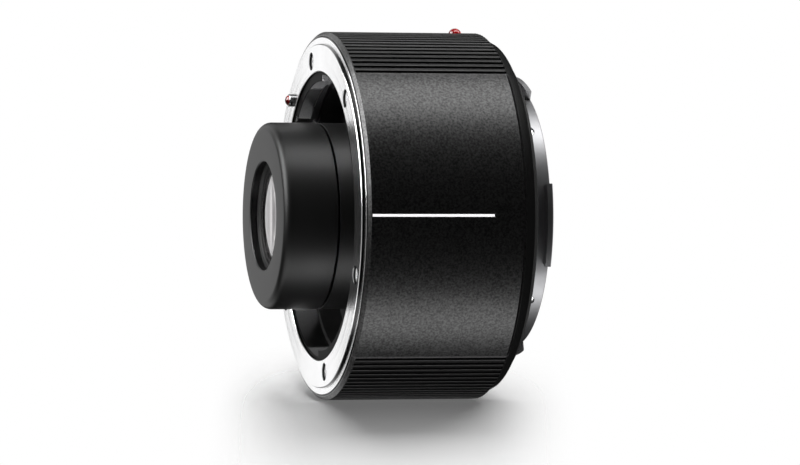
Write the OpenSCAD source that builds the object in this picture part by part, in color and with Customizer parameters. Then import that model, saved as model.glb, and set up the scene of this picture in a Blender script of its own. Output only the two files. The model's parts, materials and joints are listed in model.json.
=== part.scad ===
// Teleconverter: a short lens attachment for a camera, with a bayonet mount at each end.
// Sizes are in millimetres. The origin is the centre of the rear seat, on the optical axis.
// +X runs along the optical axis to the rear, +Z is up, and the index line faces -Y.
// Clock angles are in degrees from the top, growing towards the side with the index line.
// Radii run inwards from the barrel: each ring is set by its width and the ring around it.

/* [Body] */
// Outer diameter of the barrel
barrel_d = 71.1; // [66:0.1:80]
// Distance from the front seat to the rear seat
flange_gap = 34.85; // [32:0.05:42]
// Wall of the barrel over the frame
barrel_wall = 2; // [1.6:0.1:2.4]
// Wall of the barrel's thin lip around the front ring
lip_wall = 0.9; // [0.7:0.05:1.1]
// Size of the bevel at the front of the barrel
front_bevel = 0.6; // [0.3:0.05:0.65]
// Size of the bevel at the rear of the barrel
rear_bevel = 0.65; // [0.4:0.05:1.7]
// Distance from the barrel's rear edge to the rear seat
barrel_setback = 3.1; // [2.8:0.1:3.8]
// Wall of the main frame
frame_wall = 2.2; // [1.6:0.1:2.6]
// Thickness of the web that carries the lens tube
web = 2; // [1.6:0.1:3]
// Thickness of the main frame's rear plate
rear_plate = 2.5; // [2:0.1:3]

/* [Grip ribs] */
// Angle from one groove to the next
groove_pitch = 2.5; // [2:0.25:4]
// Width of one groove
groove_w = 0.7; // [0.4:0.05:0.9]
// Depth of one groove
groove_depth = 0.42; // [0.2:0.02:0.6]
// Half of the angle that each grip covers, at the top and at the bottom
grip_half = 40; // [20:1.25:45]
// Length of the plain rim in front of the grooves
grip_rim = 0.8; // [0.7:0.1:3]

/* [Index marks] */
// Length of the engraved index line
line_len = 23.75; // [5:0.05:27]
// Width of the engraved index line
line_w = 0.5; // [0.3:0.05:1]
// Depth of the engraved index line
line_depth = 0.12; // [0.05:0.01:0.3]
// Distance from the barrel's front edge to the index line
line_setback = 0.75; // [0.65:0.05:3]
// Diameter of the index dome
dome_d = 2.5; // [1.6:0.1:3.2]
// Height of the index dome over the barrel, as a share of its radius
dome_share = 0.78; // [0.4:0.02:1]
// Depth of the index dome's seat in the barrel
dome_seat = 0.6; // [0.5:0.05:0.9]
// Diameter of the index dome's stem
dome_stem_d = 1.8; // [1:0.1:2]
// Distance from the index dome to the rear seat
dome_setback = 7.85; // [7:0.05:14]
// Clock angle of the index dome
dome_clock = 3; // [-10:1:20]

/* [Front mount] */
// Width of the ring's outer ledge
ledge_w = 1.4; // [0.8:0.05:2]
// Width of the raised front seat
seat_w = 5.3; // [4.6:0.1:6.2]
// Height of the raised seat over the ring's outer ledge
seat_step = 0.55; // [0.4:0.05:1.2]
// Height of the ledge over the barrel's front edge
ledge_proud = 0.2; // [0.1:0.05:0.4]
// Full thickness of the front ring
ring_thick = 2.4; // [2.1:0.1:3]
// Distance from the ring's bore to the circle of screws
screw_inset = 2.5; // [2.2:0.05:2.8]
// Diameter of the front ring's screw heads
front_head_d = 3.3; // [2.6:0.1:3.7]
// Thickness of the front ring's screw heads
front_head_h = 0.9; // [0.7:0.05:1.1]
// Depth of the screw heads below the front seat
front_head_sink = 0.4; // [0.1:0.05:0.5]
// Length of the front ring's screws below their heads
front_screw_len = 3.9; // [3:0.1:5]
// Clock angles of the front ring's screws
front_screw_clocks = [-9.5, 43.2, 111.6, 170.6, 236.2, 276];

/* [Front bayonet] */
// Distance that the claws reach inwards from their collar
claw_reach = 1.3; // [1:0.05:1.6]
// Wall of the collar that carries the claws
collar_wall = 0.55; // [0.45:0.05:0.65]
// Width of the flange that holds the collar under the ring
collar_rim = 0.75; // [0.5:0.05:0.85]
// Thickness of the flange that holds the collar under the ring
collar_flange = 0.8; // [0.6:0.05:1]
// Depth of the claws behind the front seat
claw_sink = 0.45; // [0.2:0.05:0.8]
// Depth of the claws' rear faces behind the front seat
claw_depth = 3.1; // [2.7:0.05:3.5]
// Angle that each claw covers
claw_angle = 45.6; // [35:0.1:50]
// Clock angle of the first claw's middle
claw_clock = -19.8; // [-30:0.1:-10]
// Depth of the collar's rear end behind the front seat
collar_depth = 5; // [4.4:0.1:6]
// Step from the claws out to the wall behind the collar
floor_step = 0.2; // [0.1:0.05:0.3]
// Depth of the throat's floor behind the front seat
floor_depth = 9.3; // [8.4:0.1:10.4]
// Radial space between the nose and the claws
throat_gap = 8; // [7:0.1:9]
// Thickness of the leaf springs under the claws
leaf_thick = 0.2; // [0.1:0.05:0.3]
// Diameter of the pin that stops the lens
stop_d = 0.7; // [0.5:0.05:0.8]
// Height of the stop pin over the ledge that carries it
stop_rise = 1.1; // [0.8:0.05:1.4]
// Clock angle of the stop pin
stop_clock = 30; // [20:1:40]

/* [Lock and release] */
// Distance from the ring's bore to the lock pin
lock_inset = 2.1; // [2.05:0.05:2.4]
// Clock angle of the lock pin
lock_clock = -40.6; // [-44:0.1:-39]
// Diameter of the lock pin
lock_d = 2.5; // [2:0.05:2.55]
// Height of the lock pin over the front seat, without its tip
lock_rise = 1; // [0.8:0.1:1.8]
// Diameter of the lock pin's coloured tip
tip_d = 1.9; // [1.2:0.1:2.1]
// Height of the lock pin's coloured tip
tip_h = 0.6; // [0.4:0.05:0.8]
// Diameter of the lock pin's tail
tail_d = 1.6; // [1.2:0.1:1.8]
// Thickness of the release plate
plate_thick = 1; // [0.8:0.1:1.2]
// Space between the front ring and the release plate
plate_gap = 1.5; // [1.2:0.1:1.7]
// Clock angle of the release knob
knob_clock = -62; // [-66:0.5:-60]
// Length of the release knob along the barrel
knob_len = 7.6; // [6.6:0.1:9]
// Width of the release knob around the barrel
knob_w = 8; // [6:0.1:10]
// Height of the release knob over the barrel
knob_rise = 1.5; // [1.2:0.1:2.2]
// Gap between the release knob and the barrel
knob_gap = 0.2; // [0.1:0.05:0.3]
// Width of the knob's square stem
stem_w = 2.6; // [2.2:0.1:3]
// Number of grooves across the release knob
knob_grooves = 6; // [3:1:7]
// Width of one groove across the release knob
knob_groove_w = 0.5; // [0.3:0.05:0.6]
// Depth of one groove across the release knob
knob_groove_depth = 0.4; // [0.2:0.05:0.5]
// Diameter of the head of the knob's screw
knob_head_d = 2; // [1.7:0.1:2.2]
// Thickness of the head of the knob's screw
knob_head_h = 0.5; // [0.4:0.05:0.6]
// Diameter of the thread of the knob's screw
knob_thread_d = 1; // [0.8:0.05:1.1]
// Wire diameter of the return spring
spring_wire = 0.28; // [0.2:0.02:0.34]
// Mean diameter of the return spring
spring_d = 2.44; // [2.2:0.02:2.6]
// Number of turns in the return spring
spring_turns = 5; // [4:1:5]

/* [Nose] */
// Distance that the nose stands in front of the front seat
nose_reach = 10.9; // [9.8:0.05:16]
// Radius of the nose cap's rounded edge
nose_round = 1.6; // [0.6:0.1:1.8]
// Diameter of the window in the nose cap
window_d = 21; // [19:0.1:22]
// Thickness of the nose cap's front and wall
cap_wall = 1.4; // [1.2:0.05:1.6]
// Distance from the front seat forward to the cap's parting line
parting = 0.4; // [0.2:0.05:2]

/* [Optics] */
// Diameter of the elements in the front of the tube
front_lens_d = 21.8; // [20:0.1:24]
// Diameter of the elements in the rear of the tube
rear_lens_d = 27; // [24:0.1:29]
// Width of the edge on which the elements are held
lens_rim = 1.1; // [0.9:0.05:1.3]
// Thickness of the front retaining ring
retainer_h = 0.65; // [0.5:0.05:0.9]
// Width of the front retaining ring's thread
retainer_w = 0.45; // [0.3:0.05:0.6]
// Length of the front spacer
spacer_len = 1.5; // [1:0.1:2]
// Length of the stop between the front and the rear elements
stop_len = 3.9; // [3.4:0.1:5]
// Distance from the rear doublet's front vertex to the rear seat
doublet_setback = 9; // [8.5:0.1:10.5]
// Air left between cemented surfaces
cement = 0.02; // [0.01:0.01:0.03]
// Thickness of each element on the axis
thickness = [3.4, 1.4, 4.2, 6, 1.6, 5.5, 1.6, 5.6];
// Radius of each element's front surface, negative where it is hollow
front_curve = [45, -60, 28, 40, -35, 30, -32, 38];
// Radius of each element's rear surface, negative where it is hollow
rear_curve = [90, -28, 55, 35, -30, 70, -38, 50];
// Wall of the tube around the rear elements
tube_wall = 2; // [1.5:0.1:2.4]
// Width of the ring that locks the tube to the web
lock_ring_w = 5; // [4.2:0.1:5.6]
// Thickness of the ring that locks the tube to the web
lock_ring_h = 1.6; // [1.2:0.1:2]
// Distance from the tube's rear end to the rear seat
tube_setback = 0.6; // [0.3:0.1:1]

/* [Rear mount] */
// Distance from the circle of contacts to the neck's bore
contact_cover = 2.15; // [1.9:0.05:2.5]
// Wall of the rear neck
neck_wall = 1.8; // [1.5:0.05:2.1]
// Length of the rear neck behind the rear seat
neck_len = 4.5; // [4:0.05:5.5]
// Distance that the bayonet tabs reach outwards from the neck
tab_reach = 1.8; // [1.4:0.05:2]
// Thickness of the bayonet tabs
tab_thick = 1.15; // [0.9:0.05:1.4]
// Width of the relief between the neck and the rear seat
relief_w = 2.1; // [1.9:0.05:2.5]
// Depth of the relief between the neck and the rear seat
relief_depth = 0.3; // [0.1:0.05:0.5]
// Width of the rear seat
rear_seat_w = 3.5; // [3.2:0.05:4]
// Thickness of the rear mount's flange
rear_flange = 1.6; // [1.4:0.1:1.8]
// Diameter of the rear mount's screw heads
rear_head_d = 2.8; // [2.4:0.1:2.9]
// Thickness of the rear mount's screw heads
rear_head_h = 0.75; // [0.6:0.05:0.9]
// Depth of the rear mount's screw heads below the rear seat
rear_head_sink = 0.2; // [0.1:0.05:0.3]
// Diameter of the hole for the camera's lock pin
lock_hole_d = 2.8; // [2.2:0.1:3]
// Clock angle of the hole for the camera's lock pin
lock_hole_clock = -41.4; // [-44:0.1:-39]
// Thickness of the shim under the rear mount
shim = 0.2; // [0.1:0.05:0.3]
// Clock angles of the rear mount's screws
rear_screw_clocks = [20, 75, 135, 195, 250, 290];
// Clock angles of the middles of the bayonet tabs
tab_clocks = [6, 94, 184, 274];
// Angles that the bayonet tabs cover
tab_angles = [43, 34, 40, 40];

/* [Rear cover and seal] */
// Width of the cover ring at its rear edge
cover_w = 2.8; // [1.4:0.05:3.2]
// Distance from the rear seat to the cover ring's rear face
cover_setback = 1.1; // [0.9:0.05:1.3]
// Width of the seal
seal_w = 1; // [0.9:0.05:1.3]
// Height of the seal's lip behind the rear seat
seal_lip = 0.1; // [0.05:0.05:0.4]

/* [Rear baffle] */
// Wall of the baffle inside the neck
baffle_wall = 1.2; // [1:0.05:1.25]
// Gap between the baffle and the neck
baffle_gap = 0.1; // [0.05:0.01:0.15]
// Depth of the baffle's rear face inside the neck
baffle_sink = 0.8; // [0.4:0.05:1]
// Thickness of the radial screws' heads
baffle_head_h = 0.5; // [0.4:0.05:0.6]
// Thickness of the baffle's rear plate
baffle_plate = 1.2; // [1:0.05:1.4]
// Width of the baffle's window
baffle_w = 30; // [26:0.1:33]
// Height of the baffle's window
baffle_h = 22; // [18:0.1:24]
// Corner radius of the baffle's window
baffle_round = 3; // [1:0.1:5]
// Distance from the radial screws to the rear seat
baffle_screw_z = 1.85; // [1.6:0.05:2]
// Angle of the radial screws from the side
baffle_screw_angle = 39.6; // [36:0.1:42]
// Diameter of the radial screws' heads
baffle_head_d = 2.1; // [1.6:0.1:2.3]

/* [Contacts] */
// Number of contacts at each end
contact_count = 10; // [4:1:10]
// Angle from one contact to the next
contact_pitch = 5.6; // [5.4:0.1:5.8]
// Clock angle of the middle of the contacts
contact_clock = -90; // [-92:1:-88]
// Gap between the nose and the front contact block
block_gap = 1.7; // [1.4:0.05:2]
// Width of the front contact block
block_w = 3.5; // [3:0.05:4]
// Depth of the front contact block behind the front seat
block_sink = 3.4; // [3:0.1:4]
// Thickness of the block's floor under its screw heads
block_floor = 2; // [1.6:0.1:2.4]
// Diameter of one contact's sleeve
sleeve_d = 1.5; // [1.4:0.02:1.6]
// Diameter of one plunger's tip
plunger_d = 0.72; // [0.6:0.02:0.8]
// Width of the shoulder that keeps a plunger in its sleeve
plunger_step = 0.1; // [0.08:0.01:0.12]
// Length of one plunger's foot
plunger_foot = 1.4; // [1.2:0.05:1.6]
// Height of the plungers over their block
plunger_rise = 0.8; // [0.7:0.05:1]
// Thickness of the lip that keeps a plunger in its sleeve
sleeve_lip = 0.3; // [0.2:0.05:0.4]
// Diameter of one rear contact pad
pad_d = 1.3; // [1:0.05:1.5]
// Thickness of one rear contact pad
pad_h = 0.35; // [0.3:0.05:0.5]
// Depth of the rear contact pads in the baffle
pad_sink = 0.6; // [0.4:0.05:0.8]

/* [Circuit] */
// Thickness of the flex cable
flex_thick = 0.3; // [0.2:0.05:0.4]
// Half of the angle that the flex cable covers
flex_half = 12; // [8:1:14]
// Thickness of the circuit board
board_thick = 0.8; // [0.6:0.1:1.2]
// Half of the angle that the circuit board covers
board_half = 65; // [60:1:70]
// Distance from the circuit board to the frame's wall
board_gap = 0.8; // [0.4:0.1:1.2]
// Length of one chip
chip_len = 4.4; // [3:0.1:5]
// Width of one chip
chip_w = 3.2; // [2:0.1:4]
// Height of one chip
chip_h = 0.9; // [0.6:0.1:1.2]

/* [Small screws] */
// Diameter of the threads of the screws that hold the mounts, tube and housing
thread_d = 1.5; // [1.2:0.05:1.6]
// Diameter of the heads of the screws that hold the tube and housing
inner_head_d = 2.8; // [2.4:0.1:3.2]
// Thickness of the heads of the screws that hold the tube and housing
inner_head_h = 0.8; // [0.6:0.05:1]
// Depth of the housing's screws in the front housing
housing_thread = 2.8; // [2:0.1:3]
// Diameter of the threads of the small screws
small_thread_d = 1.2; // [1:0.05:1.3]
// Diameter of the small screws' heads
small_head_d = 2.2; // [1.8:0.05:2.4]
// Thickness of the small screws' heads
small_head_h = 0.7; // [0.5:0.05:0.8]
// Depth of the threads in the web
web_thread = 1.4; // [1:0.05:1.5]

/* [Fits] */
// Gap around fixed pieces
fit = 0.05; // [0.03:0.01:0.08]
// Running gap around sliding pieces
slide = 0.05; // [0.03:0.01:0.08]
// Gap around screws in clearance holes
screw_fit = 0.1; // [0.08:0.01:0.15]
// Room left at the end of a travel
end_room = 0.3; // [0.2:0.05:0.4]
// Size of small broken edges
edge = 0.15; // [0.1:0.01:0.2]

/* [Hidden] */
$fn = 96;
eps = 0.01;

barrel_r = barrel_d / 2;
frame_r = barrel_r - barrel_wall - fit;
chamber_r = frame_r - frame_wall;
ledge_r = barrel_r - lip_wall - fit;
seat_r = ledge_r - ledge_w;
throat_r = seat_r - seat_w;
collar_r = throat_r - fit;
collar_in_r = collar_r - collar_wall;
collar_flange_r = collar_r + collar_rim;
claw_r = collar_in_r - claw_reach;
floor_r = claw_r + floor_step;
nose_r = claw_r - throat_gap;
window_r = window_d / 2;
cap_in_r = nose_r - cap_wall;
tube_front_r = cap_in_r - fit;
tube_r = nose_r - fit;

block_in_r = nose_r + block_gap;
contact_r = block_in_r + block_w / 2;
block_out_r = block_in_r + block_w;
flex_r = block_out_r + 2 * fit;
flex_out_r = flex_r + flex_thick;
rear_open_r = flex_out_r + 0.4;
neck_in_r = contact_r + contact_cover;
neck_r = neck_in_r + neck_wall;
tab_r = neck_r + tab_reach;
relief_r = neck_r + relief_w;
rear_screw_r = relief_r + rear_seat_w / 2;
flange_r = relief_r + rear_seat_w;
seal_r = flange_r + seal_w;
cover_rear_r = flange_r + cover_w;

dome_rise = dome_share * dome_d / 2;
dome_ball_r = (dome_d * dome_d / 4 + dome_rise * dome_rise) / (2 * dome_rise);

z_front = -flange_gap;
z_ring_back = z_front + ring_thick;
z_lip = z_front + seat_step + ledge_proud;
z_barrel_end = -barrel_setback;
z_collar_end = z_front + collar_depth;
z_floor = z_front + floor_depth;
z_web_back = z_floor + web;
z_frame_end = -rear_flange - shim;
z_chamber_end = z_frame_end - rear_plate;
z_nose = z_front - nose_reach;
z_parting = z_front - parting;
z_tube_front = z_nose + cap_wall + fit / 2;
z_tube_end = -tube_setback;

front_lens_r = front_lens_d / 2;
rear_lens_r = rear_lens_d / 2;
front_hold_r = front_lens_r - lens_rim;
rear_hold_r = rear_lens_r - lens_rim;
z_glass = z_tube_front + retainer_h;
tube_rear_r = rear_lens_r + tube_wall;
lock_ring_r = tube_rear_r + fit + lock_ring_w;
tube_screw_r = tube_rear_r + fit + lock_ring_w / 2;
tube_bore_r = tube_rear_r + fit;
tube_screw_clocks = [45, 135, 225, 315];

// One element is [front vertex, thickness on the axis, radius, front curve, rear curve].
function sag(curve, r) = sign(curve) * (abs(curve) - sqrt(curve * curve - r * r));
function front_at(e, r) = e[0] + sag(e[3], r);
function rear_at(e, r) = e[0] + e[1] - sag(e[4], r);
function element(i, z, r) = [z, thickness[i], r, front_curve[i], rear_curve[i]];
function after(e) = e[0] + e[1] + cement;
element_1 = element(0, z_glass + eps - sag(front_curve[0], front_hold_r), front_lens_r);
z_spacer_1 = rear_at(element_1, front_hold_r) + eps;
z_group_2 = z_spacer_1 + spacer_len;
element_2 = element(1, z_group_2 + eps - sag(front_curve[1], front_lens_r), front_lens_r);
element_3 = element(2, after(element_2), front_lens_r);
z_shoulder_1 = rear_at(element_3, front_hold_r) + eps;
z_shoulder_2 = z_shoulder_1 + stop_len;
element_4 = element(3, z_shoulder_2 + eps - sag(front_curve[3], front_hold_r), rear_lens_r);
element_5 = element(4, after(element_4), rear_lens_r);
element_6 = element(5, after(element_5), rear_lens_r);
z_spacer_2 = rear_at(element_6, rear_hold_r) + eps;
element_7 = element(6, -doublet_setback, rear_lens_r);
z_spacer_2_end = front_at(element_7, rear_lens_r) - eps;
element_8 = element(7, after(element_7), rear_lens_r);
z_retainer_2 = rear_at(element_8, rear_hold_r) + eps;

lock_r = lock_d / 2;
lock_pos = throat_r + lock_inset;
tip_r = tip_d / 2;
tail_r = tail_d / 2;
lock_travel = lock_rise + tip_h;
pocket_r = collar_flange_r + fit;
z_plate = z_ring_back + plate_gap;
z_plate_back = z_plate + plate_thick;
z_pocket_end = z_plate_back + lock_travel + end_room;
plate_in_r = pocket_r + 0.15;
plate_out_r = frame_r - 0.4;
plate_clock = (lock_clock + knob_clock) / 2;
plate_half = (lock_clock - knob_clock) / 2 + 3.5;
pocket_half = plate_half + 1;
spring_hole_r = (spring_d + spring_wire) / 2 + screw_fit;
carrier_r = frame_r - 1.1;
carrier_w = stem_w + 1.6;
carrier_half = 5;
knob_r = barrel_r + knob_gap;
z_knob = z_plate + (stem_w - knob_len) / 2 + 0.4;
tip_bulge = tip_h - edge;
tip_curve = (tip_r * tip_r + tip_bulge * tip_bulge) / (2 * tip_bulge);
knob_top_r = barrel_r + knob_rise;
knob_thread_r = knob_thread_d / 2;

thread_r = thread_d / 2;
thread_hole_r = thread_r + fit;
shank_hole_r = thread_r + screw_fit;
inner_head_r = inner_head_d / 2;
small_r = small_thread_d / 2;
small_hole_r = small_r + fit;
small_head_r = small_head_d / 2;
front_screw_r = throat_r + screw_inset;
front_head_r = front_head_d / 2;
z_front_head = z_front + front_head_sink;
z_front_screw_end = z_front_head + front_head_h + front_screw_len;
stop_r = stop_d / 2;
stop_pos = collar_in_r - stop_r - fit;
stop_seat = 1.45;
housing_screw_r = (floor_r + frame_r) / 2 - 1.2;
housing_screw_clocks = [-12, 55, 120, 188];

rear_head_r = rear_head_d / 2;
lock_hole_r = lock_hole_d / 2;
seal_in_r = flange_r + fit / 2;

baffle_r = neck_in_r - baffle_gap;
baffle_in_r = baffle_r - baffle_wall;
z_baffle_end = neck_len - baffle_sink;
z_baffle_plate = z_baffle_end - baffle_plate;
z_baffle_front = 0.2 - rear_flange;
baffle_head_r = baffle_head_d / 2;
baffle_screw_clocks = [90 - baffle_screw_angle, 90 + baffle_screw_angle,
                       270 - baffle_screw_angle, 270 + baffle_screw_angle];

contact_half = (contact_count - 1) / 2 * contact_pitch;
sleeve_r = sleeve_d / 2;
plunger_r = plunger_d / 2;
plunger_foot_r = plunger_r + plunger_step;
sleeve_bore_r = plunger_foot_r + slide;
block_half = contact_half + 10.5;
block_screw_angle = contact_half + 6;
z_block = z_front + block_sink;
z_block_seat = z_floor - block_floor;
z_foot = z_block + sleeve_lip + fit / 2;
z_sleeve_end = z_floor - 0.3;
pad_r = pad_d / 2;
rear_block_out_r = baffle_in_r - 0.1;
rear_block_in_r = contact_r - 1.5;
rear_slot_w = pad_r + 0.1;
rear_slot_half = contact_half + 5;
z_pads = z_baffle_end - pad_sink;
z_rear_block = -rear_flange;

board_in_r = flex_out_r + 0.5;
board_out_r = chamber_r - board_gap;
board_screw_angle = board_half - 8;
board_screw_r = (board_in_r + board_out_r) / 2;
z_board_head = z_web_back + board_thick + small_head_h;

plungers = [for (i = [1:contact_count]) str("contact_plunger_", i)];

// Turns the working frame, with the optical axis along Z, into the part's frame.
module optic() {
  rotate([0, 90, 0]) children();
}

// Puts children at a clock angle, with X pointing outwards.
module at_clock(angle, r = 0, z = 0) {
  rotate([0, 0, 180 + angle]) translate([r, 0, z]) children();
}

// A ring with square edges.
module ring(r_in, r_out, z0, z1) {
  rotate_extrude() translate([r_in, z0]) square([r_out - r_in, z1 - z0]);
}

// A piece of a ring, half an angle to each side of its middle.
module arc_ring(r_in, r_out, z0, z1, middle, half) {
  rotate([0, 0, 180 + middle - half])
    rotate_extrude(angle = 2 * half) translate([r_in, z0]) square([r_out - r_in, z1 - z0]);
}

module hole(r, z0, z1) {
  translate([0, 0, z0]) cylinder(r = r, h = z1 - z0, $fn = 48);
}

// A screw with a flat head at z = 0 and a cross recess, pointing along +Z.
module cross_screw(head_r, head_h, shank_r, length) {
  slot_w = head_r * 0.26;
  slot_l = head_r * 1.2;
  difference() {
    union() {
      cylinder(r = head_r, h = head_h, $fn = 48);
      translate([0, 0, head_h]) cylinder(r = shank_r, h = length, $fn = 48);
    }
    for (turn = [20, 110])
      rotate([0, 0, turn])
        translate([-slot_l / 2, -slot_w / 2, -eps]) cube([slot_l, slot_w, head_h * 0.45]);
  }
}

// A flat wedge from the axis, with ends that lean in by the given angle at the outer radius.
module wedge(r_in, r_out, half, lean) {
  reach = r_out * 1.2;
  slope = (reach - r_in) / (r_out - r_in);
  tip = half - lean * slope;
  polygon([
    [0, 0],
    [r_in * cos(half), r_in * sin(half)],
    [reach * cos(tip), reach * sin(tip)],
    [reach * 1.2, 0],
    [reach * cos(tip), -reach * sin(tip)],
    [r_in * cos(half), -r_in * sin(half)]
  ]);
}

// A bayonet tab or claw, between two radii.
module bayonet_tooth(r_in, r_out, half, lean, z0, z1) {
  translate([0, 0, z0]) linear_extrude(z1 - z0) intersection() {
    difference() {
      circle(r = r_out);
      circle(r = r_in);
    }
    wedge(r_in, r_out, half, lean);
  }
}

module lens(e) {
  z0 = e[3] > 0 ? e[0] - 1 : front_at(e, e[2]);
  z1 = e[4] > 0 ? e[0] + e[1] + 1 : rear_at(e, e[2]);
  rotate_extrude() difference() {
    intersection() {
      translate([0, z0]) square([e[2], z1 - z0]);
      if (e[3] > 0) translate([0, e[0] + e[3]]) circle(r = e[3], $fn = 720);
      if (e[4] > 0) translate([0, e[0] + e[1] - e[4]]) circle(r = e[4], $fn = 720);
    }
    if (e[3] < 0) translate([0, e[0] + e[3]]) circle(r = -e[3], $fn = 720);
    if (e[4] < 0) translate([0, e[0] + e[1] - e[4]]) circle(r = -e[4], $fn = 720);
  }
}

// A coil of round wire along Z.
module coil(r, wire_r, z0, z1, turns) {
  rings = 10;
  sides = 6;
  n = turns * rings;
  run = z1 - z0 - 2 * wire_r;
  points = [for (i = [0:n], j = [0:sides - 1])
    let (a = 360 * i / rings, b = 360 * j / sides, rr = r + wire_r * cos(b))
    [rr * cos(a), rr * sin(a), z0 + wire_r + run * i / n + wire_r * sin(b)]];
  skin = [for (i = [0:n - 1], j = [0:sides - 1], half = [0, 1])
    let (k = (j + 1) % sides, p = i * sides, q = p + sides)
    half == 0 ? [p + j, q + k, q + j] : [p + j, p + k, q + k]];
  first = [for (j = [1:sides - 2]) [0, j + 1, j]];
  last = [for (j = [1:sides - 2]) [n * sides, n * sides + j, n * sides + j + 1]];
  polyhedron(points, concat(first, skin, last));
}

// Clock angle of one contact, counted from 1.
function contact_at(i) = contact_clock + (i - (contact_count + 1) / 2) * contact_pitch;

module outer_barrel() color([0.09, 0.09, 0.10]) optic() {
  difference() {
    rotate_extrude() polygon([
      [ledge_r + fit, z_lip],
      [barrel_r - front_bevel, z_lip],
      [barrel_r, z_lip + front_bevel],
      [barrel_r, z_barrel_end - rear_bevel],
      [barrel_r - rear_bevel, z_barrel_end],
      [frame_r + fit, z_barrel_end],
      [frame_r + fit, z_ring_back],
      [ledge_r + fit, z_ring_back]
    ]);
    for (side = [0, 180], a = [-grip_half:groove_pitch:grip_half])
      at_clock(side + a, barrel_r - groove_depth, z_lip + grip_rim)
        translate([0, -groove_w / 2, 0])
          cube([groove_depth + 1, groove_w, z_barrel_end - z_lip - grip_rim]);
    at_clock(90, barrel_r - line_depth, z_lip + line_setback)
      translate([0, -line_w / 2, 0]) cube([1, line_w, line_len]);
    at_clock(dome_clock, 0, -dome_setback) rotate([0, 90, 0]) {
      hole(dome_d / 2 + fit, barrel_r - dome_seat, barrel_r + 1);
      hole(dome_stem_d / 2 + fit, frame_r - 1, barrel_r);
    }
    at_clock(knob_clock, frame_r - 1, z_plate - knob_gap)
      translate([0, -stem_w / 2 - knob_gap, 0])
        cube([barrel_wall + 3, stem_w + 2 * knob_gap, stem_w + lock_travel + knob_gap + end_room]);
  }
}

module index_dome() color([0.75, 0.03, 0.03]) optic() {
  at_clock(dome_clock, 0, -dome_setback) rotate([0, 90, 0]) {
    hole(dome_stem_d / 2, frame_r + 2 * fit, barrel_r - dome_seat);
    hole(dome_d / 2, barrel_r - dome_seat, barrel_r - fit);
    intersection() {
      translate([0, 0, barrel_r - fit + dome_rise - dome_ball_r]) sphere(r = dome_ball_r, $fn = 48);
      hole(dome_d, barrel_r - fit, barrel_r + dome_d);
    }
  }
}

module rear_cover_ring() color([0.05, 0.05, 0.055]) optic() {
  rotate_extrude() polygon([
    [flange_r + fit, z_barrel_end],
    [barrel_r - rear_bevel - 2 * fit, z_barrel_end],
    [cover_rear_r, -cover_setback - edge],
    [cover_rear_r - edge, -cover_setback],
    [flange_r + fit, -cover_setback]
  ]);
}

// The front part of the frame: the throat's wall, with the room for the release inside it.
module front_housing() color([0.13, 0.13, 0.14]) optic() {
  difference() {
    rotate_extrude() polygon([
      [pocket_r, z_ring_back],
      [frame_r, z_ring_back],
      [frame_r, z_floor],
      [floor_r, z_floor],
      [floor_r, z_collar_end],
      [throat_r, z_collar_end],
      [throat_r, z_ring_back + collar_flange + fit / 2],
      [pocket_r, z_ring_back + collar_flange + fit / 2]
    ]);
    for (a = front_screw_clocks)
      at_clock(a, front_screw_r) hole(thread_hole_r, z_ring_back - eps, z_front_screw_end + 0.2);
    arc_ring(pocket_r - 0.1, frame_r + 1, z_ring_back - 1, z_pocket_end, plate_clock, pocket_half);
    arc_ring(pocket_r + 0.05, frame_r + 2, z_pocket_end - 0.5, z_floor + 1, knob_clock, carrier_half);
    at_clock(lock_clock, lock_pos) hole(spring_hole_r, z_pocket_end - eps, z_floor + 1);
    at_clock(stop_clock, stop_pos) hole(stop_r + fit / 2, z_collar_end - eps, z_collar_end + stop_seat + fit);
    for (a = housing_screw_clocks)
      at_clock(a, housing_screw_r) hole(thread_hole_r, z_floor - housing_thread - 0.2, z_floor + eps);
  }
}

// The rear part of the frame: the web that carries the optics, and the seat of the rear mount.
module body_frame() color([0.16, 0.16, 0.17]) optic() {
  difference() {
    rotate_extrude() polygon([
      [tube_bore_r, z_floor],
      [frame_r, z_floor],
      [frame_r, z_barrel_end],
      [flange_r, z_barrel_end],
      [flange_r, z_frame_end],
      [rear_open_r, z_frame_end],
      [rear_open_r, z_chamber_end],
      [chamber_r, z_chamber_end],
      [chamber_r, z_web_back],
      [tube_bore_r, z_web_back]
    ]);
    for (a = housing_screw_clocks)
      at_clock(a, housing_screw_r) hole(shank_hole_r, z_floor - eps, z_web_back + eps);
    for (a = rear_screw_clocks)
      at_clock(a, rear_screw_r) hole(thread_hole_r, z_chamber_end - eps, z_frame_end + eps);
    at_clock(lock_hole_clock, rear_screw_r) hole(lock_hole_r + 0.2, z_frame_end - 1, z_frame_end + eps);
    arc_ring(contact_r, flex_out_r + 0.3, z_floor - eps, z_web_back + eps, contact_clock, flex_half + 1);
    for (a = [-1, 1])
      at_clock(contact_clock + a * block_screw_angle, contact_r)
        hole(small_hole_r, z_floor - eps, z_floor + web_thread + 0.1);
    for (a = tube_screw_clocks)
      at_clock(a, tube_screw_r) hole(thread_hole_r, z_web_back - web_thread - 0.1, z_web_back + eps);
    for (a = [-1, 1])
      at_clock(contact_clock + a * board_screw_angle, board_screw_r)
        hole(small_hole_r, z_web_back - web_thread - 0.1, z_web_back + eps);
  }
}

module housing_screws() color([0.45, 0.45, 0.47]) optic() {
  for (a = housing_screw_clocks)
    at_clock(a, housing_screw_r, z_web_back + inner_head_h)
      rotate([180, 0, 0]) cross_screw(inner_head_r, inner_head_h, thread_r, web + housing_thread);
}

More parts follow.
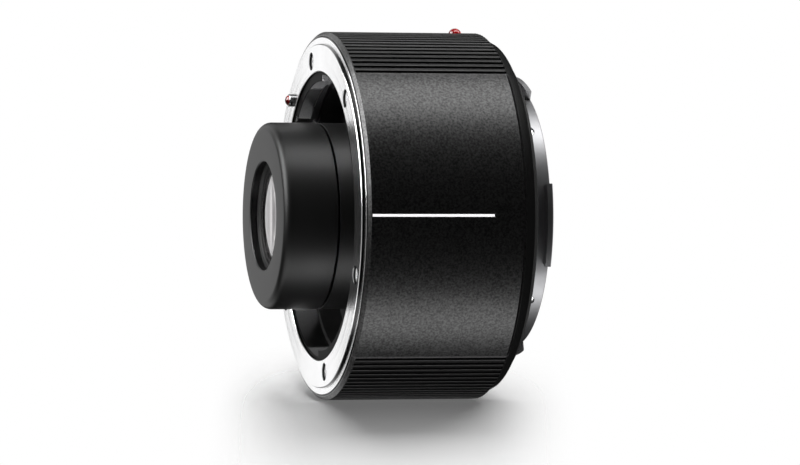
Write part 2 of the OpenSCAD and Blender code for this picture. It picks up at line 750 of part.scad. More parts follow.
module front_mount_ring() color([0.86, 0.86, 0.87]) optic() {
  difference() {
    rotate_extrude() polygon([
      [throat_r + edge, z_front],
      [seat_r - edge, z_front],
      [seat_r, z_front + edge],
      [seat_r, z_front + seat_step],
      [ledge_r - edge, z_front + seat_step],
      [ledge_r, z_front + seat_step + edge],
      [ledge_r, z_ring_back],
      [throat_r, z_ring_back],
      [throat_r, z_front + edge]
    ]);
    for (a = front_screw_clocks) at_clock(a, front_screw_r) {
      hole(front_head_r + screw_fit, z_front - 1, z_front_head + front_head_h);
      hole(shank_hole_r, z_front, z_ring_back + 1);
    }
    at_clock(lock_clock, lock_pos) hole(lock_r + slide, z_front - 1, z_ring_back + 1);
  }
}

module front_mount_screws() color([0.72, 0.72, 0.74]) optic() {
  for (a = front_screw_clocks)
    at_clock(a, front_screw_r, z_front_head)
      cross_screw(front_head_r, front_head_h, thread_r, front_screw_len);
}

module bayonet_claw_ring() color([0.10, 0.10, 0.105]) optic() {
  ring(collar_in_r, collar_r, z_front + claw_sink, z_collar_end);
  ring(collar_r - 0.1, collar_flange_r, z_ring_back, z_ring_back + collar_flange);
  for (i = [0:3])
    rotate([0, 0, 180 + claw_clock + 90 * i])
      bayonet_tooth(claw_r, collar_in_r + 0.1, claw_angle / 2, 0,
                    z_front + claw_sink, z_front + claw_depth);
}

module claw_leaf_springs() color([0.62, 0.60, 0.55]) optic() {
  for (i = [0:3])
    arc_ring(claw_r + floor_step, collar_in_r - 2 * fit, z_front + claw_depth,
             z_front + claw_depth + leaf_thick, claw_clock + 90 * i, claw_angle / 3);
}

module stop_pin() color([0.70, 0.70, 0.72]) optic() {
  at_clock(stop_clock, stop_pos) hole(stop_r, z_collar_end - stop_rise, z_collar_end + stop_seat);
}

module lock_pin() color([0.06, 0.06, 0.065]) optic() {
  at_clock(lock_clock, lock_pos) {
    hole(lock_r, z_front - lock_rise, z_plate);
    hole(tail_r, z_plate - eps, z_plate_back + lock_travel);
  }
}

module lock_pin_tip() color([0.80, 0.03, 0.03]) optic() {
  at_clock(lock_clock, lock_pos) {
    hole(tip_r, z_front - lock_rise - edge, z_front - lock_rise);
    intersection() {
      translate([0, 0, z_front - lock_rise - tip_h + tip_curve]) sphere(r = tip_curve, $fn = 48);
      hole(tip_r, z_front - lock_rise - tip_h, z_front - lock_rise - edge);
    }
  }
}

module release_plate() color([0.60, 0.60, 0.62]) optic() {
  difference() {
    union() {
      arc_ring(plate_in_r, plate_out_r, z_plate, z_plate_back, plate_clock, plate_half);
      at_clock(knob_clock, plate_in_r + 0.4, z_plate)
        translate([0, -carrier_w / 2, 0]) cube([carrier_r - plate_in_r - 0.4, carrier_w, stem_w]);
    }
    at_clock(lock_clock, lock_pos) hole(tail_r + fit / 2, z_plate - 1, z_plate_back + 1);
    at_clock(knob_clock, carrier_r, z_plate - 1)
      translate([0, -carrier_w / 2 - 1, 0]) cube([3, carrier_w + 2, stem_w + 2]);
    at_clock(knob_clock, 0, z_plate + stem_w / 2) rotate([0, 90, 0])
      hole(knob_thread_r + fit, plate_in_r + 1, frame_r);
  }
}

module release_knob() color([0.07, 0.07, 0.075]) optic() {
  groove_run = (knob_len - 2.2 * knob_groove_w - knob_groove_w) / (knob_grooves - 1);
  difference() {
    union() {
      at_clock(knob_clock, carrier_r, z_plate)
        translate([0, -stem_w / 2, 0]) cube([knob_r - carrier_r + 0.5, stem_w, stem_w]);
      intersection() {
        ring(knob_r, knob_top_r, z_knob, z_knob + knob_len);
        at_clock(knob_clock, knob_r - 3, z_knob)
          translate([0, -knob_w / 2, 0]) cube([knob_rise + 6, knob_w, knob_len]);
      }
    }
    for (i = [0:knob_grooves - 1])
      at_clock(knob_clock, knob_top_r - knob_groove_depth, z_knob + 1.1 * knob_groove_w + i * groove_run)
        translate([0, -knob_w, 0]) cube([2, 2 * knob_w, knob_groove_w]);
    at_clock(knob_clock, 0, z_plate + stem_w / 2) rotate([0, 90, 0]) {
      hole(knob_thread_r + fit, carrier_r - 1, knob_r + 3);
      hole(knob_head_d / 2 + fit, knob_r + knob_gap, knob_r + 3);
    }
  }
}

module release_knob_screw() color([0.35, 0.35, 0.36]) optic() {
  head_r = knob_r + knob_gap + knob_head_h;
  at_clock(knob_clock, head_r, z_plate + stem_w / 2) rotate([0, -90, 0])
    cross_screw(knob_head_d / 2, knob_head_h, knob_thread_r, knob_r + knob_gap - plate_in_r - 1.3);
}

module release_spring() color([0.55, 0.55, 0.57]) optic() {
  at_clock(lock_clock, lock_pos) coil(spring_d / 2, spring_wire / 2, z_plate_back, z_floor, spring_turns);
}

module nose_cap() color([0.13, 0.13, 0.135]) optic() {
  rotate_extrude() difference() {
    translate([window_r, z_nose]) square([nose_r - window_r, z_parting - z_nose - fit]);
    translate([window_r - 1, z_nose + cap_wall]) square([cap_in_r - window_r + 1, nose_reach]);
    translate([nose_r - nose_round, z_nose - 1]) difference() {
      square([nose_round + 1, nose_round + 1]);
      translate([0, nose_round + 1]) circle(r = nose_round);
    }
    polygon([[window_r - 1, z_nose - 1], [window_r + 1.2, z_nose - 1], [window_r - 1, z_nose + 1.2]]);
    polygon([[nose_r - edge, z_parting], [nose_r + 1, z_parting - 1 - edge], [nose_r + 1, z_parting]]);
  }
}

module lens_tube() color([0.08, 0.08, 0.085]) optic() {
  thread_out_r = front_lens_r + retainer_w + fit;
  rotate_extrude() polygon([
    [thread_out_r, z_tube_front],
    [tube_front_r, z_tube_front],
    [tube_front_r, z_parting],
    [tube_r - edge, z_parting],
    [tube_r, z_parting + edge],
    [tube_r, z_floor],
    [tube_rear_r, z_floor],
    [tube_rear_r, z_tube_end],
    [rear_lens_r + fit / 2, z_tube_end],
    [rear_lens_r + fit / 2, z_shoulder_2],
    [front_hold_r, z_shoulder_2],
    [front_hold_r, z_shoulder_1],
    [front_lens_r + fit / 2, z_shoulder_1],
    [front_lens_r + fit / 2, z_glass + fit],
    [thread_out_r, z_glass + fit]
  ]);
}

module tube_lock_ring() color([0.12, 0.12, 0.125]) optic() {
  difference() {
    ring(tube_bore_r, lock_ring_r, z_web_back, z_web_back + lock_ring_h);
    for (a = tube_screw_clocks)
      at_clock(a, tube_screw_r) hole(shank_hole_r, z_web_back - 1, z_web_back + lock_ring_h + 1);
  }
}

module tube_screws() color([0.45, 0.45, 0.47]) optic() {
  for (a = tube_screw_clocks)
    at_clock(a, tube_screw_r, z_web_back + lock_ring_h + inner_head_h)
      rotate([180, 0, 0]) cross_screw(inner_head_r, inner_head_h, thread_r, lock_ring_h + web_thread);
}

module front_retainer() color([0.07, 0.065, 0.06]) optic() {
  rotate_extrude() polygon([
    [front_hold_r + 0.35, z_tube_front],
    [front_lens_r + retainer_w, z_tube_front],
    [front_lens_r + retainer_w, z_glass],
    [front_hold_r, z_glass]
  ]);
}

module front_element() color([0.75, 0.70, 0.78, 0.5]) optic() lens(element_1);

module front_spacer() color([0.05, 0.05, 0.05]) optic() {
  ring(front_hold_r, front_lens_r, z_spacer_1, z_group_2);
}

module second_group_front() color([0.70, 0.75, 0.78, 0.5]) optic() lens(element_2);

module second_group_rear() color([0.70, 0.75, 0.78, 0.5]) optic() lens(element_3);

module third_group_front() color([0.70, 0.75, 0.78, 0.5]) optic() lens(element_4);

module third_group_middle() color([0.70, 0.75, 0.78, 0.5]) optic() lens(element_5);

module third_group_rear() color([0.70, 0.75, 0.78, 0.5]) optic() lens(element_6);

module rear_spacer() color([0.05, 0.05, 0.05]) optic() {
  ring(rear_hold_r, rear_lens_r, z_spacer_2, z_spacer_2_end);
}

module rear_group_front() color([0.70, 0.75, 0.78, 0.5]) optic() lens(element_7);

module rear_element() color([0.66, 0.76, 0.70, 0.5]) optic() lens(element_8);

module rear_retainer() color([0.06, 0.06, 0.06]) optic() {
  ring(rear_hold_r, rear_lens_r, z_retainer_2, z_tube_end - 0.4);
}

module rear_mount() color([0.80, 0.80, 0.81]) optic() {
  difference() {
    union() {
      rotate_extrude() polygon([
        [neck_in_r, -rear_flange],
        [flange_r, -rear_flange],
        [flange_r, -edge],
        [flange_r - edge, 0],
        [relief_r, 0],
        [relief_r, -relief_depth],
        [neck_r, -relief_depth],
        [neck_r, neck_len - edge],
        [neck_r - edge, neck_len],
        [neck_in_r, neck_len]
      ]);
      for (i = [0:3])
        rotate([0, 0, 180 + tab_clocks[i]])
          bayonet_tooth(neck_r - 0.3, tab_r, tab_angles[i] / 2, 1.6, neck_len - tab_thick, neck_len);
    }
    for (a = rear_screw_clocks) at_clock(a, rear_screw_r) {
      hole(rear_head_r + screw_fit, -rear_head_sink - rear_head_h, 1);
      hole(shank_hole_r, -rear_flange - 1, 0);
    }
    at_clock(lock_hole_clock, rear_screw_r) hole(lock_hole_r, -rear_flange - 1, 1);
    for (a = baffle_screw_clocks)
      at_clock(a, 0, baffle_screw_z) rotate([0, 90, 0]) {
        hole(small_r + screw_fit, neck_in_r - 1, neck_r + 1);
        hole(baffle_head_r + fit, neck_r - baffle_head_h - 0.25, neck_r + 1);
      }
  }
}

module rear_mount_screws() color([0.70, 0.70, 0.72]) optic() {
  length = rear_flange + shim + rear_plate - rear_head_sink - rear_head_h - 0.2;
  for (a = rear_screw_clocks)
    at_clock(a, rear_screw_r, -rear_head_sink)
      rotate([180, 0, 0]) cross_screw(rear_head_r, rear_head_h, thread_r, length);
}

module mount_shim() color([0.78, 0.66, 0.38]) optic() {
  difference() {
    ring(rear_open_r + 0.5, flange_r - 0.2, -rear_flange - shim, -rear_flange);
    for (a = rear_screw_clocks) at_clock(a, rear_screw_r) hole(shank_hole_r + fit, -rear_flange - 1, 0);
    at_clock(lock_hole_clock, rear_screw_r) hole(lock_hole_r + 0.2, -rear_flange - 1, 0);
  }
}

module mount_seal() color([0.04, 0.04, 0.04]) optic() {
  rotate_extrude() polygon([
    [seal_in_r, -cover_setback],
    [seal_r, -cover_setback],
    [seal_r - 0.05 * seal_w, -cover_setback + 0.5],
    [seal_r - 0.3 * seal_w, seal_lip],
    [seal_r - 0.6 * seal_w, seal_lip],
    [seal_in_r, -0.3]
  ]);
}

module rear_baffle() color([0.05, 0.05, 0.05]) optic() {
  difference() {
    union() {
      ring(baffle_in_r, baffle_r, z_baffle_front, z_baffle_end);
      ring(5, baffle_in_r + 0.1, z_baffle_plate, z_baffle_end);
    }
    translate([0, 0, z_baffle_plate - 1]) linear_extrude(baffle_plate + 2) baffle_window();
    arc_ring(contact_r - rear_slot_w - fit, contact_r + rear_slot_w + fit, z_baffle_plate - 1,
             z_baffle_end + 1, contact_clock, rear_slot_half + 0.2);
    for (a = baffle_screw_clocks)
      at_clock(a, 0, baffle_screw_z) rotate([0, 90, 0]) hole(small_hole_r, baffle_in_r - 1, neck_r);
  }
}

module baffle_window() {
  square([baffle_h, baffle_w - 2 * baffle_round], center = true);
  square([baffle_h - 2 * baffle_round, baffle_w], center = true);
  for (i = [-1, 1], j = [-1, 1])
    translate([i * (baffle_h / 2 - baffle_round), j * (baffle_w / 2 - baffle_round)])
      circle(r = baffle_round);
}

module baffle_screws() color([0.66, 0.66, 0.68]) optic() {
  length = neck_r - 0.2 - baffle_head_h - baffle_in_r - 0.1;
  for (a = baffle_screw_clocks)
    at_clock(a, neck_r - 0.2, baffle_screw_z)
      rotate([0, -90, 0]) cross_screw(baffle_head_r, baffle_head_h, small_r, length);
}

module rear_contact_block() color([0.06, 0.06, 0.06]) optic() {
  difference() {
    union() {
      arc_ring(rear_block_in_r, rear_block_out_r, z_rear_block, z_baffle_plate,
               contact_clock, rear_slot_half + 3);
      arc_ring(contact_r - rear_slot_w, contact_r + rear_slot_w, z_baffle_plate - 0.5, z_pads,
               contact_clock, rear_slot_half);
    }
    for (i = [1:contact_count])
      at_clock(contact_at(i), contact_r) hole(pad_r + fit / 2, z_pads + fit - pad_h, z_pads + 1);
  }
}

module rear_contact_pads() color([0.85, 0.66, 0.28]) optic() {
  for (i = [1:contact_count])
    at_clock(contact_at(i), contact_r) hole(pad_r, z_pads + fit - pad_h, z_pads + fit);
}

module front_contact_block() color([0.06, 0.06, 0.06]) optic() {
  difference() {
    arc_ring(block_in_r, block_out_r, z_block, z_floor, contact_clock, block_half);
    for (i = [1:contact_count])
      at_clock(contact_at(i), contact_r) hole(sleeve_r + fit / 2, z_block - 1, z_floor + 1);
    for (a = [-1, 1])
      at_clock(contact_clock + a * block_screw_angle, contact_r) {
        hole(small_hole_r, z_block - 1, z_floor + 1);
        hole(small_head_r + fit, z_block - 1, z_block_seat);
      }
  }
}

module contact_block_screws() color([0.50, 0.50, 0.52]) optic() {
  for (a = [-1, 1])
    at_clock(contact_clock + a * block_screw_angle, contact_r, z_block_seat - small_head_h)
      cross_screw(small_head_r, small_head_h, small_r, block_floor + web_thread);
}

module contact_sleeves() color([0.80, 0.64, 0.30]) optic() {
  for (i = [1:contact_count])
    at_clock(contact_at(i), contact_r)
      difference() {
        hole(sleeve_r, z_block, z_sleeve_end);
        hole(plunger_r + slide, z_block - 1, z_foot + 0.1);
        hole(sleeve_bore_r, z_block + sleeve_lip, z_sleeve_end - 0.5);
      }
}

module contact_plunger(i) color([0.86, 0.70, 0.32]) optic() {
  at_clock(contact_at(i), contact_r) {
    translate([0, 0, z_block - plunger_rise + plunger_r]) sphere(r = plunger_r, $fn = 32);
    hole(plunger_r, z_block - plunger_rise + plunger_r, z_foot + 0.2);
    hole(plunger_foot_r, z_foot, z_foot + plunger_foot);
  }
}

module circuit_board() color([0.05, 0.22, 0.12]) optic() {
  difference() {
    arc_ring(board_in_r, board_out_r, z_web_back, z_web_back + board_thick, contact_clock, board_half);
    for (a = [-1, 1])
      at_clock(contact_clock + a * board_screw_angle, board_screw_r)
        hole(small_hole_r, z_web_back - 1, z_web_back + board_thick + 1);
  }
}

module board_chips() color([0.07, 0.07, 0.08]) optic() {
  for (a = [-38, -24, 24, 38])
    at_clock(contact_clock + a, board_screw_r, z_web_back + board_thick)
      translate([-chip_w / 2, -chip_len / 2, 0]) cube([chip_w, chip_len, chip_h]);
}

module board_screws() color([0.50, 0.50, 0.52]) optic() {
  for (a = [-1, 1])
    at_clock(contact_clock + a * board_screw_angle, board_screw_r, z_board_head)
      rotate([180, 0, 0]) cross_screw(small_head_r, small_head_h, small_r, board_thick + web_thread);
}

module flex_cable() color([0.55, 0.33, 0.08]) optic() {
  z_tail = z_web_back + board_thick;
  arc_ring(flex_r, flex_out_r, z_floor, z_rear_block, contact_clock, flex_half);
  arc_ring(contact_r - 0.5, flex_out_r, z_rear_block - flex_thick, z_rear_block, contact_clock, flex_half);
  arc_ring(flex_r + 0.1, board_in_r + 2, z_tail, z_tail + flex_thick, contact_clock, flex_half - 3);
}

outer_barrel();
index_dome();
rear_cover_ring();
front_housing();
body_frame();
housing_screws();
front_mount_ring();
front_mount_screws();
bayonet_claw_ring();
claw_leaf_springs();
stop_pin();
lock_pin();
lock_pin_tip();
release_plate();
release_knob();
release_knob_screw();
release_spring();
nose_cap();
lens_tube();
tube_lock_ring();
tube_screws();
front_retainer();
front_element();
front_spacer();
second_group_front();
second_group_rear();
third_group_front();
third_group_middle();
third_group_rear();
rear_spacer();
rear_group_front();
rear_element();
rear_retainer();
rear_mount();
rear_mount_screws();
mount_shim();
mount_seal();
rear_baffle();
baffle_screws();
rear_contact_block();
rear_contact_pads();
front_contact_block();
contact_block_screws();
contact_sleeves();
circuit_board();
board_chips();
board_screws();
flex_cable();
for (i = [1:contact_count])
  contact_plunger(i);
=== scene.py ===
"""Looks of the teleconverter: fine edges, grip ribs, screws, finishes and a small studio.

Lengths are in metres in the frame of the CAD model. Profiles are typed in millimetres, as
(x along the optical axis, radius). Clock angles run from the top towards the index line.
"""

import json
import math

import bmesh
import bpy
from mathutils import Matrix, Vector

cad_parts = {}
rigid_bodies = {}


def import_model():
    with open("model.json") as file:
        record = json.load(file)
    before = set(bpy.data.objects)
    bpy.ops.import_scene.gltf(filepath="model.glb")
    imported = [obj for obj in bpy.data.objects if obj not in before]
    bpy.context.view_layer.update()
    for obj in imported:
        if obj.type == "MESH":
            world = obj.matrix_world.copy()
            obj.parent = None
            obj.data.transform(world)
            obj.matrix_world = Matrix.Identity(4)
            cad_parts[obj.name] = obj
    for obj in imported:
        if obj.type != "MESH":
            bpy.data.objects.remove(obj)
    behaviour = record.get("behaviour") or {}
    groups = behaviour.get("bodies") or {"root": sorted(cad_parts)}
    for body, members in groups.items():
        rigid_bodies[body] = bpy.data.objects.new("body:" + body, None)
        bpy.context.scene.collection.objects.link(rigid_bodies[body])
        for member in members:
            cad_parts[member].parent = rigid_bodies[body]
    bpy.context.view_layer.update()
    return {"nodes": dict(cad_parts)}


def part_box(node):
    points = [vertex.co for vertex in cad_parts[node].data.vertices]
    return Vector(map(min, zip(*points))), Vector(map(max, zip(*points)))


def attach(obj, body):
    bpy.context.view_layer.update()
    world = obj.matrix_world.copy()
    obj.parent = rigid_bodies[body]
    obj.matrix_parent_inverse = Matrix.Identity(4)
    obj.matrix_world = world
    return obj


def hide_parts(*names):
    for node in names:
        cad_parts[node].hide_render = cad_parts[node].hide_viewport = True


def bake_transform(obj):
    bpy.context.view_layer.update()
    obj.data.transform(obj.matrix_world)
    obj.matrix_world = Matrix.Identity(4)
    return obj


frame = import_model()

bl_info = {
    "name": "Teleconverter looks",
    "version": (1, 0, 0),
    "blender": (4, 5, 0),
    "location": "View3D > Sidebar > Teleconverter",
    "description": "Dresses a CAD teleconverter with fine edges, ribs, screws and finishes",
    "category": "Object",
}

MM = 0.001
NODES = frame["nodes"]

# Clock angles in degrees; a tab has its middle and its width
FRONT_SCREWS = (-9.5, 43.2, 111.6, 170.6, 236.2, 276)
REAR_SCREWS = (20, 75, 135, 195, 250, 290)
BAFFLE_SCREWS = (50.4, 129.6, 230.4, 309.6)
TABS = ((6, 43), (94, 34), (184, 40), (274, 40))
CLAW_CLOCK, CLAW_HALF = -19.8, 22.8
INDEX_CLOCK, LINE_HALF = 90, 0.403
GRIP_HALF = 40.567
DOME_CLOCK = 3
STOP_CLOCK = 30
LOCK_CLOCK = -40.6
CAMERA_LOCK_CLOCK = -41.4
KNOB_CLOCK = -62
CONTACT_CLOCK, CONTACT_STEP, CONTACT_COUNT = -90, 5.6, 10

# Radii in millimetres
FRONT_SCREW_CIRCLE = 30.4
REAR_SCREW_CIRCLE = 29.25
LOCK_CIRCLE = 30.0
CONTACT_CIRCLE = 21.45
RING_BORE, RING_STEP, RING_RIM = 27.9, 33.2, 34.6
COVER_BORE = 31.05
NECK = 25.4
FRONT_GLASS, BACK_GLASS = 10.9, 13.5

# Thickness, radius, front and rear curve in millimetres, and finish of each element
GLASS = {
    "front_element": (3.4, FRONT_GLASS, 45, 90, "front_glass"),
    "second_group_front": (1.4, FRONT_GLASS, -60, -28, "inner_glass"),
    "second_group_rear": (4.2, FRONT_GLASS, 28, 55, "inner_glass"),
    "third_group_front": (6.0, BACK_GLASS, 40, 35, "inner_glass"),
    "third_group_middle": (1.6, BACK_GLASS, -35, -30, "inner_glass"),
    "third_group_rear": (5.5, BACK_GLASS, 30, 70, "inner_glass"),
    "rear_group_front": (1.6, BACK_GLASS, -32, -38, "inner_glass"),
    "rear_element": (5.6, BACK_GLASS, 38, 50, "rear_glass"),
}
NOSE_PIECES = ("nose_shell", "lens_barrel")


def outer_radius(node):
    """Radius of a round CAD node, in metres."""
    low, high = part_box(node)
    return (high.y - low.y) / 2


def start_of(node):
    """The x at which a CAD node starts, in millimetres."""
    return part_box(node)[0].x / MM


def end_of(node):
    """The x at which a CAD node ends, in millimetres."""
    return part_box(node)[1].x / MM


# Places along the axis in millimetres
SEAT = start_of("front_mount_ring")
RING_BACK = SEAT + 2.4
CLAW_FACE = SEAT + 0.45
SLEEVE_TOP = SEAT + 3.4
NOSE = start_of("nose_cap")
FLOOR = start_of("body_frame")
LIP = start_of("outer_barrel")
GRIP_START = LIP + 0.8
TAIL, TAIL_BEVEL = end_of("outer_barrel"), 0.65
COVER_END = -1.1
MOUNT_END = 4.5


class BarrelSettings(bpy.types.PropertyGroup):
    """Sizes and colours of the barrel"""

    radius: bpy.props.FloatProperty(
        name="Radius", description="Outer radius of the barrel",
        default=outer_radius("outer_barrel"), subtype="DISTANCE", unit="LENGTH", precision=5)
    rib_count: bpy.props.IntProperty(
        name="Ribs", description="Number of ribs in each grip", default=32, min=3, max=60)
    rib_step: bpy.props.FloatProperty(
        name="Rib step", description="Angle from one rib to the next",
        default=math.radians(2.5), subtype="ANGLE", unit="ROTATION")
    rib_width: bpy.props.FloatProperty(
        name="Rib width", description="Width of one rib",
        default=0.84 * MM, subtype="DISTANCE", unit="LENGTH", precision=5)
    rib_height: bpy.props.FloatProperty(
        name="Rib height", description="Height of the ribs over the grooves",
        default=0.42 * MM, subtype="DISTANCE", unit="LENGTH", precision=5)
    paint: bpy.props.FloatVectorProperty(
        name="Paint", description="Colour of the grained paint",
        default=(0.0010, 0.00097, 0.0010), size=3, subtype="COLOR", min=0, max=1)
    line: bpy.props.FloatVectorProperty(
        name="Line", description="Colour of the index line",
        default=(0.90, 0.89, 0.91), size=3, subtype="COLOR", min=0, max=1)
    dot: bpy.props.FloatVectorProperty(
        name="Dot", description="Colour of the index dome and of the lock pin's tip",
        default=(0.62, 0.012, 0.016), size=3, subtype="COLOR", min=0, max=1)


class MountSettings(bpy.types.PropertyGroup):
    """Colours of the two mounts"""

    front: bpy.props.FloatVectorProperty(
        name="Front ring", description="Colour of the bright front ring",
        default=(0.87, 0.87, 0.875), size=3, subtype="COLOR", min=0, max=1)
    rear: bpy.props.FloatVectorProperty(
        name="Rear mount", description="Colour of the rear mount",
        default=(0.31, 0.31, 0.318), size=3, subtype="COLOR", min=0, max=1)
    # This grey is painted light: it stands for the light on the claws' inner walls.
    claw: bpy.props.FloatVectorProperty(
        name="Claws", description="Colour of the claws and the throat",
        default=(0.16, 0.16, 0.163), size=3, subtype="COLOR", min=0, max=1)
    edge: bpy.props.FloatProperty(
        name="Edge", description="Width of the broken edges of machined metal",
        default=0.07 * MM, subtype="DISTANCE", unit="LENGTH", precision=6)


class ReleaseSettings(bpy.types.PropertyGroup):
    """Return spring of the lock pin"""

    wire: bpy.props.FloatProperty(
        name="Wire", description="Wire diameter of the return spring",
        default=0.28 * MM, subtype="DISTANCE", unit="LENGTH", precision=6)
    turns: bpy.props.FloatProperty(
        name="Turns", description="Number of turns of the return spring", default=5.0, min=1)


class LensSettings(bpy.types.PropertyGroup):
    """Colours of the nose and the glass"""

    nose: bpy.props.FloatVectorProperty(
        name="Nose", description="Colour of the nose cap",
        default=(0.0009, 0.0009, 0.00092), size=3, subtype="COLOR", min=0, max=1)
    tube: bpy.props.FloatVectorProperty(
        name="Tube", description="Colour of the lens tube",
        default=(0.0009, 0.0009, 0.00093), size=3, subtype="COLOR", min=0, max=1)
    glass: bpy.props.FloatVectorProperty(
        name="Glass", description="Colour of light that passes the glass",
        default=(0.93, 0.90, 0.91), size=3, subtype="COLOR", min=0, max=1)
    coating: bpy.props.FloatVectorProperty(
        name="Coating", description="Colour of light that the coated glass throws back",
        default=(0.62, 0.53, 0.56), size=3, subtype="COLOR", min=0, max=1)


class StageSettings(bpy.types.PropertyGroup):
    """Camera and light"""

    distance: bpy.props.FloatProperty(
        name="Distance", description="Distance of the camera",
        default=1.0, subtype="DISTANCE", unit="LENGTH")
    turn: bpy.props.FloatProperty(
        name="Turn", description="Angle of the camera round the object, towards the nose",
        default=math.radians(15.3), subtype="ANGLE", unit="ROTATION")
    aim: bpy.props.FloatVectorProperty(
        name="Aim", description="Point that the camera looks at",
        default=(-18.36 * MM, 0, -3.20 * MM), size=3, subtype="XYZ", unit="LENGTH", precision=5)
    lens: bpy.props.FloatProperty(
        name="Lens", description="Focal length of the camera in millimetres",
        default=232, subtype="DISTANCE_CAMERA")
    key: bpy.props.FloatProperty(
        name="Key", description="Brightness of the softbox above", default=4.6, min=0)
    low: bpy.props.FloatProperty(
        name="Low", description="Brightness of the softbox below", default=3.2, min=0)
    fill: bpy.props.FloatProperty(
        name="Fill", description="Brightness of the lamp by the camera", default=14.0, min=0)
    side: bpy.props.FloatProperty(
        name="Side", description="Brightness of the panel on the left", default=10.0, min=0)
    under: bpy.props.FloatProperty(
        name="Under", description="Brightness of the panel low on the left", default=2.5, min=0)
    back: bpy.props.FloatProperty(
        name="Back", description="Brightness of the softbox behind", default=1.2, min=0)
    glow: bpy.props.FloatProperty(
        name="Glass panel", description="Brightness of the panel that the front glass reflects",
        default=0.35, min=0)
    ends: bpy.props.FloatProperty(
        name="End panels", description="Brightness of the panels that face the two mounts",
        default=0.7, min=0)
    snoot: bpy.props.FloatProperty(
        name="Snoot", description="Brightness of the spots that light the throat", default=2.2, min=0)


class ConverterSettings(bpy.types.PropertyGroup):
    """All settings of the teleconverter's looks"""

    barrel: bpy.props.PointerProperty(
        type=BarrelSettings, name="Barrel", description="Sizes and colours of the barrel")
    mount: bpy.props.PointerProperty(
        type=MountSettings, name="Mounts", description="Colours of the two mounts")
    release: bpy.props.PointerProperty(
        type=ReleaseSettings, name="Release", description="Return spring of the lock pin")
    lens: bpy.props.PointerProperty(
        type=LensSettings, name="Lens", description="Colours of the nose and the glass")
    stage: bpy.props.PointerProperty(
        type=StageSettings, name="Stage", description="Camera and light")


def settings():
    """The scene's settings for this object."""
    return bpy.context.scene.teleconverter


class Socket:
    """A node's output, with Python's operators for the maths on it."""

    def __init__(self, graph, out):
        self.graph = graph
        self.out = out

    def maths(self, operation, other=0.0, swap=False):
        """A Math node on this value and another."""
        pair = (other, self) if swap else (self, other)
        return self.graph.node("ShaderNodeMath", {"operation": operation}, {0: pair[0], 1: pair[1]})

    def __add__(self, other):
        return self.maths("ADD", other)

    def __radd__(self, other):
        return self.maths("ADD", other, True)

    def __sub__(self, other):
        return self.maths("SUBTRACT", other)

    def __rsub__(self, other):
        return self.maths("SUBTRACT", other, True)

    def __mul__(self, other):
        return self.maths("MULTIPLY", other)

    def __rmul__(self, other):
        return self.maths("MULTIPLY", other, True)

    def __truediv__(self, other):
        return self.maths("DIVIDE", other)

    def __rtruediv__(self, other):
        return self.maths("DIVIDE", other, True)

    def __pow__(self, other):
        return self.maths("POWER", other)

    def __gt__(self, other):
        return self.maths("GREATER_THAN", other)


class Graph:
    """A node tree that is written as Python expressions."""

    def __init__(self, tree):
        self.tree = tree
        tree.nodes.clear()

    def node(self, kind, setup=None, values=None, out=0):
        """Adds a node: its settings first, then the values or links of its sockets."""
        made = self.tree.nodes.new(kind)
        for key, value in (setup or {}).items():
            setattr(made, key, value)
        for key, value in (values or {}).items():
            if isinstance(value, Socket):
                self.tree.links.new(value.out, made.inputs[key])
            else:
                made.inputs[key].default_value = value
        return Socket(self, made.outputs[out]) if made.outputs else made

    def part(self, socket, name):
        """Another output of the node that a socket belongs to."""
        return Socket(self, socket.out.node.outputs[name])

    def xyz(self, vector):
        """The three numbers of a vector."""
        split = self.node("ShaderNodeSeparateXYZ", {}, {0: vector})
        return split, self.part(split, "Y"), self.part(split, "Z")

    def clamp(self, value, low, high, start=0.0, end=1.0, smooth=False):
        """A value brought from one range to another, and kept inside it."""
        kind = "SMOOTHSTEP" if smooth else "LINEAR"
        return self.node("ShaderNodeMapRange", {"interpolation_type": kind, "clamp": True},
                         {"Value": value, "From Min": low, "From Max": high,
                          "To Min": start, "To Max": end})


